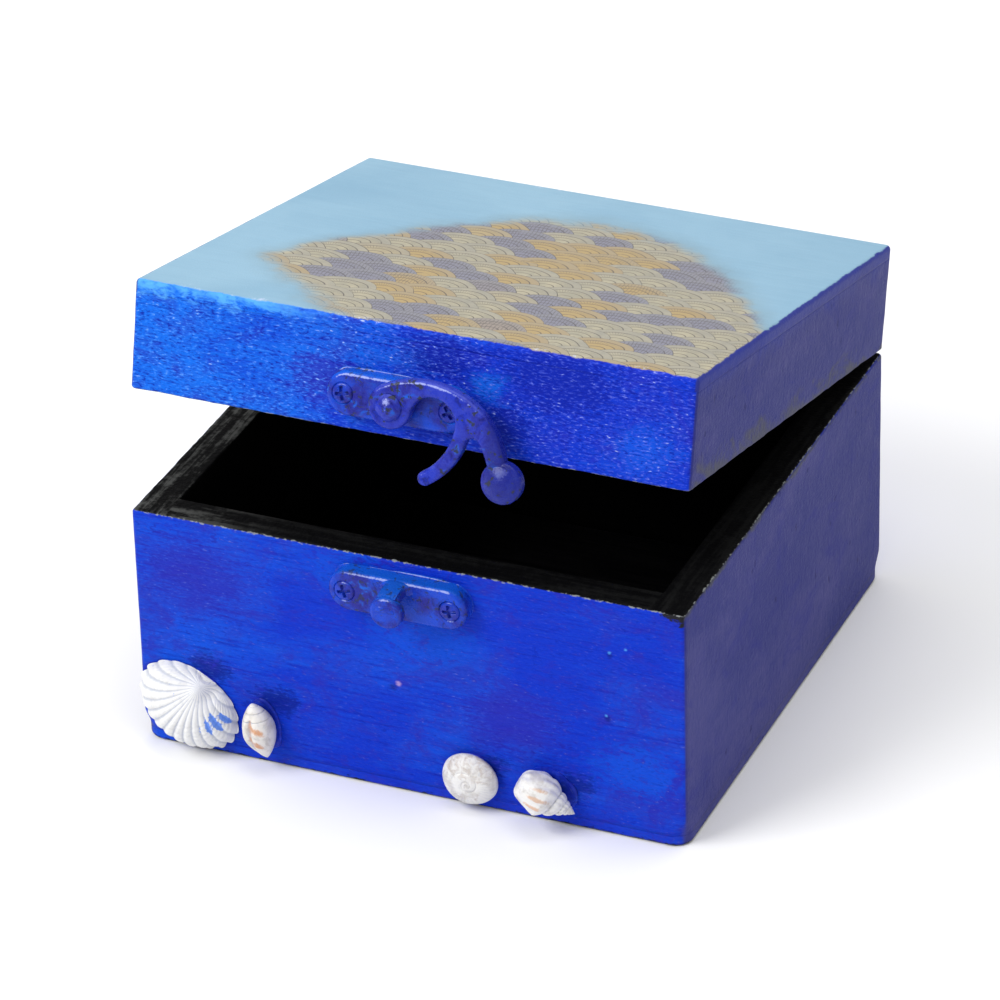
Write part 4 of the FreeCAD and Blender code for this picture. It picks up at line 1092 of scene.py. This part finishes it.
def moon():
    """Low round shell: a dome over a disc with a groove along a logarithmic spiral round its apex."""
    radius, height = 7.3, 5.2
    share = np.linspace(1.0, 0.02, 90)[:, None]
    angle = full_turn(200)
    turn = (angle / (2 * math.pi) + np.log(share) / math.log(0.33)) % 1.0
    near = np.minimum(turn, 1.0 - turn)
    suture = hump(near, 0.055) * step(share, 0.62, 0.40)
    bulge = np.sin(math.pi * turn) ** 0.7 * step(share, 0.98, 0.8)
    dome = 0.3 * height + 0.7 * height * (1.0 - share ** 2.4) ** 0.6
    growth = wave(angle * 34.0 + 3.0 * np.sin(angle * 3.0) + share * 5.0)
    out = dome * (0.95 + 0.05 * bulge) - 0.14 * suture * step(share, 0.02, 0.2)
    out = out - 0.09 * growth * step(share, 0.2, 0.5) * step(share, 1.0, 0.9)
    shift_p, shift_q = 0.9 * (1 - share), 0.2 * (1 - share)
    flare = 1.0 + 0.04 * np.cos(angle - 0.6) + 0.015 * np.cos(3 * angle)
    p = radius * share * flare * np.cos(angle) * 1.04 + shift_p
    q = radius * share * flare * np.sin(angle) + shift_q
    local = np.stack([p, q, np.maximum(out, 0.0)], axis=-1)
    foot = np.concatenate([local[:1] * [0.84, 0.84, 0.0], local[:1] * [0.95, 0.95, 0.45]])
    local = np.concatenate([foot, local])
    rays = wave(angle * 5.0 + share * 7.0)
    warm = np.maximum(rays * hump(share - 0.62, 0.3) * 0.6, 0.62 * step(q / radius, -0.2, 0.45))
    groove = np.maximum(suture * 0.5, growth * 0.55 * step(share, 0.3, 0.6))
    marks = {"groove": groove, "warm": warm}
    marks = {key: np.concatenate([value[:1], value[:1], value]) for key, value in marks.items()}
    glaze = shell_glaze(
        "moon_pearl", white=(0.76, 0.75, 0.73), tint=(0.42, 0.33, 0.27), ochre=0.75, stain=0.5
    )
    ends = on_front(np.array([(0.0, 0.0, 0.0), (0.9, 0.2, float(out[-1].mean()))]), MOON_PLACE)
    surface(
        "moon", on_front(local, MOON_PLACE), "base", glaze, ["moon_shell"],
        ends=ends, marks=marks,
    )


cockle()
olive()
whelk()
moon()


def glue_paint():
    """Dried glue painted over with the base's blue."""
    finish = Finish("painted_glue", Specular_IOR_Level=0.2)
    place = finish.place()
    brush = Brushwork(finish, place)
    lumpy = finish.noise(place, 3.0, 4.0, 0.6, 0.6)
    colour = finish.mix(lumpy.step(0.40, 0.62) * 0.7, base_blue(finish, place, brush), DEEP)
    return finish.wear(colour, 0.3 + brush.grit * 0.2, lumpy * 0.7 + brush.grit * 0.3, 0.25)


def bead(name, path, outward, place, body, finish, wide, high, seed):
    """Uneven bead where a piece meets the front: a low half-round carried along a closed path there."""
    across = np.linspace(0.0, math.pi, 9)[:, None]
    swell = np.maximum(0.6 + 0.8 * lumps(path + seed * 31.0, 4.5, seed), 0.12)[None, :]
    shift = -wide * np.cos(across) * swell
    p = path[None, :, 0] + outward[None, :, 0] * shift
    q = path[None, :, 1] + outward[None, :, 1] * shift
    points = on_front(np.stack([p, q, high * np.sin(across) * swell], axis=-1), place, 0.0)
    surface(name, points, body, finish, loop=True)


def glue_bead(name, half_long, half_short, place, seed):
    """Bead of glue round the oval foot of a shell."""
    turn = full_turn(180)
    path = np.stack([half_long * np.cos(turn), half_short * np.sin(turn), np.zeros_like(turn)], axis=-1)
    outward = np.stack([half_short * np.cos(turn), half_long * np.sin(turn)], axis=-1)
    outward /= np.linalg.norm(outward, axis=-1, keepdims=True)
    bead(name, path, outward, place, "base", glue_finish, wide=0.9, high=0.6, seed=seed)


def paint_bead(name, place, body, finish, seed):
    """Ridge of paint round a latch plate, along its straight sides and round ends."""
    turn = full_turn(240)
    outward = np.stack([np.cos(turn), np.sin(turn), np.zeros_like(turn)], axis=-1)
    path = PLATE_ROUND * outward
    path[:, 0] += PLATE_HALF * np.clip(np.cos(turn) * 3.0, -1.0, 1.0)
    spot = (*place, 0.0)
    bead(name, path, outward[:, :2], spot, body, finish, wide=0.55, high=0.5, seed=seed)


glue_finish = glue_paint()
dress(glue_finish, "shell_glue")
for shell, half_long, half_short, place, seed in (
    ("cockle", 13.0, 10.0, COCKLE_PLACE, 5), ("olive", 6.6, 3.4, OLIVE_PLACE, 6),
    ("moon", 6.2, 6.0, MOON_PLACE, 7), ("whelk", 6.4, 4.6, WHELK_PLACE, 8),
):
    glue_bead(shell + "_glue", half_long, half_short, place, seed)
paint_bead("latch_plate_ridge", LATCH_PLACE, "lid", plate_enamel, seed=9)
paint_bead("catch_plate_ridge", CATCH_PLACE, "base", plate_enamel, seed=10)


def pale_floor():
    """Plain pale floor, wide enough to fill every view."""
    finish = Finish("pale_floor", Specular_IOR_Level=0.1)
    place = finish.place()
    clouds = finish.noise(place, 300.0, 2.0)
    dim, bright = (0.93, 0.93, 0.93), (0.95, 0.95, 0.95)
    colour = finish.mix(clouds, dim, bright)
    material = finish.wear(colour, 0.8 + clouds * 0.05, clouds, 0.01)
    reach = 6.0
    corners = [(-reach, -reach, 0), (reach, -reach, 0), (reach, reach, 0), (-reach, reach, 0)]
    mesh = bpy.data.meshes.new("floor")
    mesh.from_pydata(corners, [], [(0, 1, 2, 3)])
    mesh.materials.append(material)
    floor = bpy.data.objects.new("floor", mesh)
    bpy.context.scene.collection.objects.link(floor)


def lamp(name, place, target, size, power):
    """Square soft light aimed at a point."""
    light = bpy.data.lights.new(name, "AREA")
    light.size = size
    light.energy = power
    holder = bpy.data.objects.new(name, light)
    holder.location = place
    holder.rotation_euler = (Vector(target) - Vector(place)).to_track_quat("-Z", "Y").to_euler()
    bpy.context.scene.collection.objects.link(holder)


def studio():
    """Pale surroundings with a soft light high at the front left and a weaker one overhead."""
    world = bpy.data.worlds.new("studio")
    world.use_nodes = True
    back = world.node_tree.nodes["Background"]
    back.inputs["Color"].default_value = (1.0, 1.0, 1.0, 1.0)
    back.inputs["Strength"].default_value = 0.62
    bpy.context.scene.world = world
    lamp("key", (-0.75, -0.95, 1.15), target=(0.0, 0.0, 0.05), size=0.8, power=16.0)
    lamp("top", (0.1, 0.15, 1.4), target=(0.0, 0.0, 0.1), size=1.0, power=8.0)


def camera():
    """Long lens to the right of the front, looking down, with a slight roll."""
    turn, lift, roll = math.radians(23.55), math.radians(29.98), math.radians(-1.54)
    target = Vector((-4.655, 0.0, 45.79)) * MM
    distance = 1.48317
    back = Vector((math.sin(turn) * math.cos(lift), -math.cos(turn) * math.cos(lift), math.sin(lift)))
    right = (-back).cross(Vector((0, 0, 1))).normalized()
    up = right.cross(-back)
    right, up = right * math.cos(roll) + up * math.sin(roll), up * math.cos(roll) - right * math.sin(roll)
    lens = bpy.data.cameras.new("camera")
    lens.sensor_width = 36.0
    lens.lens = 205.3
    holder = bpy.data.objects.new("camera", lens)
    holder.matrix_world = Matrix((right, up, back)).transposed().to_4x4()
    holder.location = target + back * distance
    bpy.context.scene.collection.objects.link(holder)
    bpy.context.scene.camera = holder


pale_floor()
studio()
camera()
bpy.context.scene.view_settings.view_transform = "Standard"
